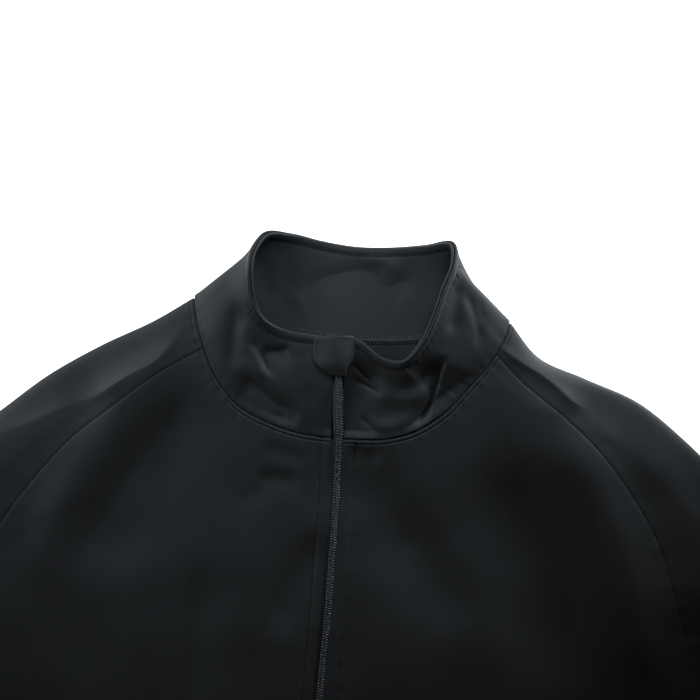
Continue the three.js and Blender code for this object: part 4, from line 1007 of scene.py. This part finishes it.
def beside(line, by):
    """A line of points moved sideways: left of its direction is positive."""
    t = np.gradient(line, axis=0)
    n = unit(np.stack([-t[:, 1], t[:, 0]], 1))
    return line + n * by


body = Threads()
for curve, side in ((neck_right, 1), (neck_left, -1)):
    line = beside(curve(np.linspace(0.5, curve.length - 1, 300)), 2.8 * side)
    p = on_top(line)
    body.run(p, ups(p), pitch=2.9, length=2.1)
for side in (-1, 1):
    y = np.linspace(-6, HEM_Y + 2, 900)
    line = np.stack([zip_x(y) + side * 11.5, y], 1)
    p = on_top(line)
    body.run(p, ups(p), pitch=3.0, length=2.1)
# hems and cuffs
for x0, x1 in ((-250.5, -7.5), (7.5, 252.5)):
    x = np.linspace(x0, x1, 160)
    y = np.full_like(x, -604.0)
    p = on_top(np.stack([x, y], 1))
    body.run(p, ups(p), pitch=3.2, length=2.3)
for rows in (SLEEVE_RIGHT, SLEEVE_LEFT):
    a, b = np.array(rows[-1][0:2], float), np.array(rows[-1][2:4], float)
    a2, b2 = np.array(rows[-2][0:2], float), np.array(rows[-2][2:4], float)
    a, b = a + unit(a2 - a) * 21, b + unit(b2 - b) * 21
    line = a + (b - a) * np.linspace(0.02, 0.97, 80)[:, None]
    p = on_top(line)
    body.run(p, ups(p), pitch=3.2, length=2.3)
body_stitches = body.build("body_stitching", m_thread)


def sample(grid, ri, ci):
    """Points of a grid at fractional rows and columns."""
    r0 = np.clip(np.floor(ri).astype(int), 0, grid.shape[0] - 2)
    c0 = np.clip(np.floor(ci).astype(int), 0, grid.shape[1] - 2)
    fr, fc = (ri - r0)[:, None], (ci - c0)[:, None]
    return (grid[r0, c0] * (1 - fr) * (1 - fc) + grid[r0 + 1, c0] * fr * (1 - fc)
            + grid[r0, c0 + 1] * (1 - fr) * fc + grid[r0 + 1, c0 + 1] * fr * fc)


collar_thread = Threads()
cols = np.linspace(1, len(around) - 2, 700)
run_cols = np.array([np.interp(5.8, run[::-1, c], np.arange(run.shape[0])[::-1]) for c in range(run.shape[1])])
rows_i = np.interp(cols, np.arange(len(around)), run_cols)
n_at = sample(collar_n, rows_i, cols)
collar_thread.run(sample(co_top, rows_i, cols), n_at, pitch=2.9, length=2.1)
collar_thread.run(sample(ci_low, rows_i, cols), -n_at, pitch=2.9, length=2.1)
collar_stitches = collar_thread.build("collar_stitching", m_thread)

# zigzag stitching over the neck seam, on the inside of the back
zig = Threads()
cols = np.interp(np.arange(0.335 * neck_total, 0.668 * neck_total, 1.15), around * neck_total, np.arange(len(around)))
hi_row = np.array([np.interp(2.7, from_seam[:, c], np.arange(from_seam.shape[0])) for c in range(from_seam.shape[1])])
cols = cols[sample(ci_low, np.full(len(cols), 1.0), cols)[:, 0] > -33]
p_hi = sample(ci_low, np.interp(cols, np.arange(len(around)), hi_row), cols)
seam_xy = sample(ci_low, np.full(len(cols), 1.0), cols)
p_lo = seam_xy.copy()
p_lo[:, 1] -= 2.6
p_lo[:, 2] = lower(p_lo[:, 0], p_lo[:, 1]) + CLOTH / 2 + 0.15
p_hi[:, 2] += 0.1
a, b = p_hi[:-1], p_lo[1:]
zig.add(a[::2], b[::2], ups(a[::2]), width=0.5, height=0.5)
zig.add(p_lo[1:-1][::2][: len(a[1::2])], p_hi[2:][::2][: len(a[1::2])], ups(a[1::2]), width=0.5, height=0.5)
zig.run(p_hi + np.array([0, 0.5, 0.1]), ups(p_hi), pitch=2.6, length=2.0)
zig.run(p_lo + np.array([0, -0.4, 0.1]), ups(p_lo), pitch=2.6, length=2.0)
zigzag = zig.build("neck_zigzag_stitching", m_zig)

# ---------------------------------------------------------------- what stands for what
for piece, node, slot in (
    (back_piece, "back", "shell_cloth"), (right_front, "front_right", "shell_cloth"), (left_front, "front_left", "shell_cloth"),
    (right_sleeve, "sleeve_right", "shell_cloth"), (left_sleeve, "sleeve_left", "shell_cloth"),
    # the inner collar's lighter colour is painted light on the shell cloth
    (outer_collar, "collar_outer", "shell_cloth"), (inner_collar, "collar_inner", "collar_lining"),
    # the zip tapes' lighter colour is painted light
    (guard, "zip_guard", "shell_cloth"), (tape_r, "zip_tape_right", "zip_tape"), (tape_l, "zip_tape_left", "zip_tape"),
    (coil, "zip_coil", "zip_coil"),
):
    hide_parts(node)

# ---------------------------------------------------------------- floor, lights and camera
me = bpy.data.meshes.new("floor")
me.from_pydata([(-4, -4, -0.0002), (4, -4, -0.0002), (4, 4, -0.0002), (-4, 4, -0.0002)], [], [(0, 1, 2, 3)])
floor = bpy.data.objects.new("floor", me)
bpy.context.scene.collection.objects.link(floor)
m_floor, nt, bsdf, nodes, links = new_material("pale_floor")
bsdf.inputs["Base Color"].default_value = (0.9, 0.9, 0.9, 1)
bsdf.inputs["Emission Color"].default_value = (1, 1, 1, 1)
bsdf.inputs["Emission Strength"].default_value = 1.0
bsdf.inputs["Roughness"].default_value = 0.9
bsdf.inputs["Specular IOR Level"].default_value = 0.1
me.materials.append(m_floor)

world = bpy.data.worlds.new("studio") if bpy.context.scene.world is None else bpy.context.scene.world
bpy.context.scene.world = world
world.use_nodes = True
bg = world.node_tree.nodes["Background"]
bg.inputs[0].default_value = (1.0, 1.0, 1.0, 1)
bg.inputs[1].default_value = 0.006
# a white backdrop where the floor ends, for low views; it lights nothing
wn, wl = world.node_tree.nodes, world.node_tree.links
backdrop = wn.new("ShaderNodeBackground")
backdrop.inputs[0].default_value = (1.0, 1.0, 1.0, 1)
backdrop.inputs[1].default_value = 1.0
seen = wn.new("ShaderNodeLightPath")
either = wn.new("ShaderNodeMixShader")
wl.new(seen.outputs["Is Camera Ray"], either.inputs[0])
wl.new(bg.outputs[0], either.inputs[1])
wl.new(backdrop.outputs[0], either.inputs[2])
wl.new(either.outputs[0], wn["World Output"].inputs["Surface"])


def area_light(name, loc, aim, size, power, spread=180, color=(0.97, 1.0, 1.045)):
    d = bpy.data.lights.new(name, "AREA")
    d.shape = "RECTANGLE"
    d.size, d.size_y = size
    d.energy = power
    d.spread = math.radians(spread)
    d.color = color
    o = bpy.data.objects.new(name, d)
    bpy.context.scene.collection.objects.link(o)
    o.location = loc
    v = np.array(aim, float) - np.array(loc, float)
    from mathutils import Vector
    o.rotation_euler = Vector(v).to_track_quat("-Z", "Y").to_euler()
    return o


CX, CY = 0.0256, 0.3214  # middle of the view
area_light("left", (CX - 0.56, CY + 0.20, 0.26), (CX - 0.15, CY + 0.02, 0), (0.40, 0.25), 1.15, spread=90)
area_light("right", (CX + 0.38, CY + 0.31, 0.07), (CX + 0.235, CY + 0.12, 0.01), (0.20, 0.06), 0.6, spread=60)
area_light("top", (CX + 0.10, CY + 0.42, 0.38), (CX - 0.02, CY + 0.06, 0), (0.25, 0.25), 0.26, spread=48)

cam = bpy.data.cameras.new("camera")
cam.sensor_width = 36
HEIGHT = 1.55
cam.lens = 36 * (HEIGHT - 0.010) / 0.462
cam.clip_start, cam.clip_end = 0.05, 20
co = bpy.data.objects.new("camera", cam)
bpy.context.scene.collection.objects.link(co)
co.location = (CX, CY, HEIGHT)
co.rotation_euler = (0, 0, math.radians(4.3))
bpy.context.scene.camera = co
bpy.context.scene.view_settings.view_transform = "Standard"
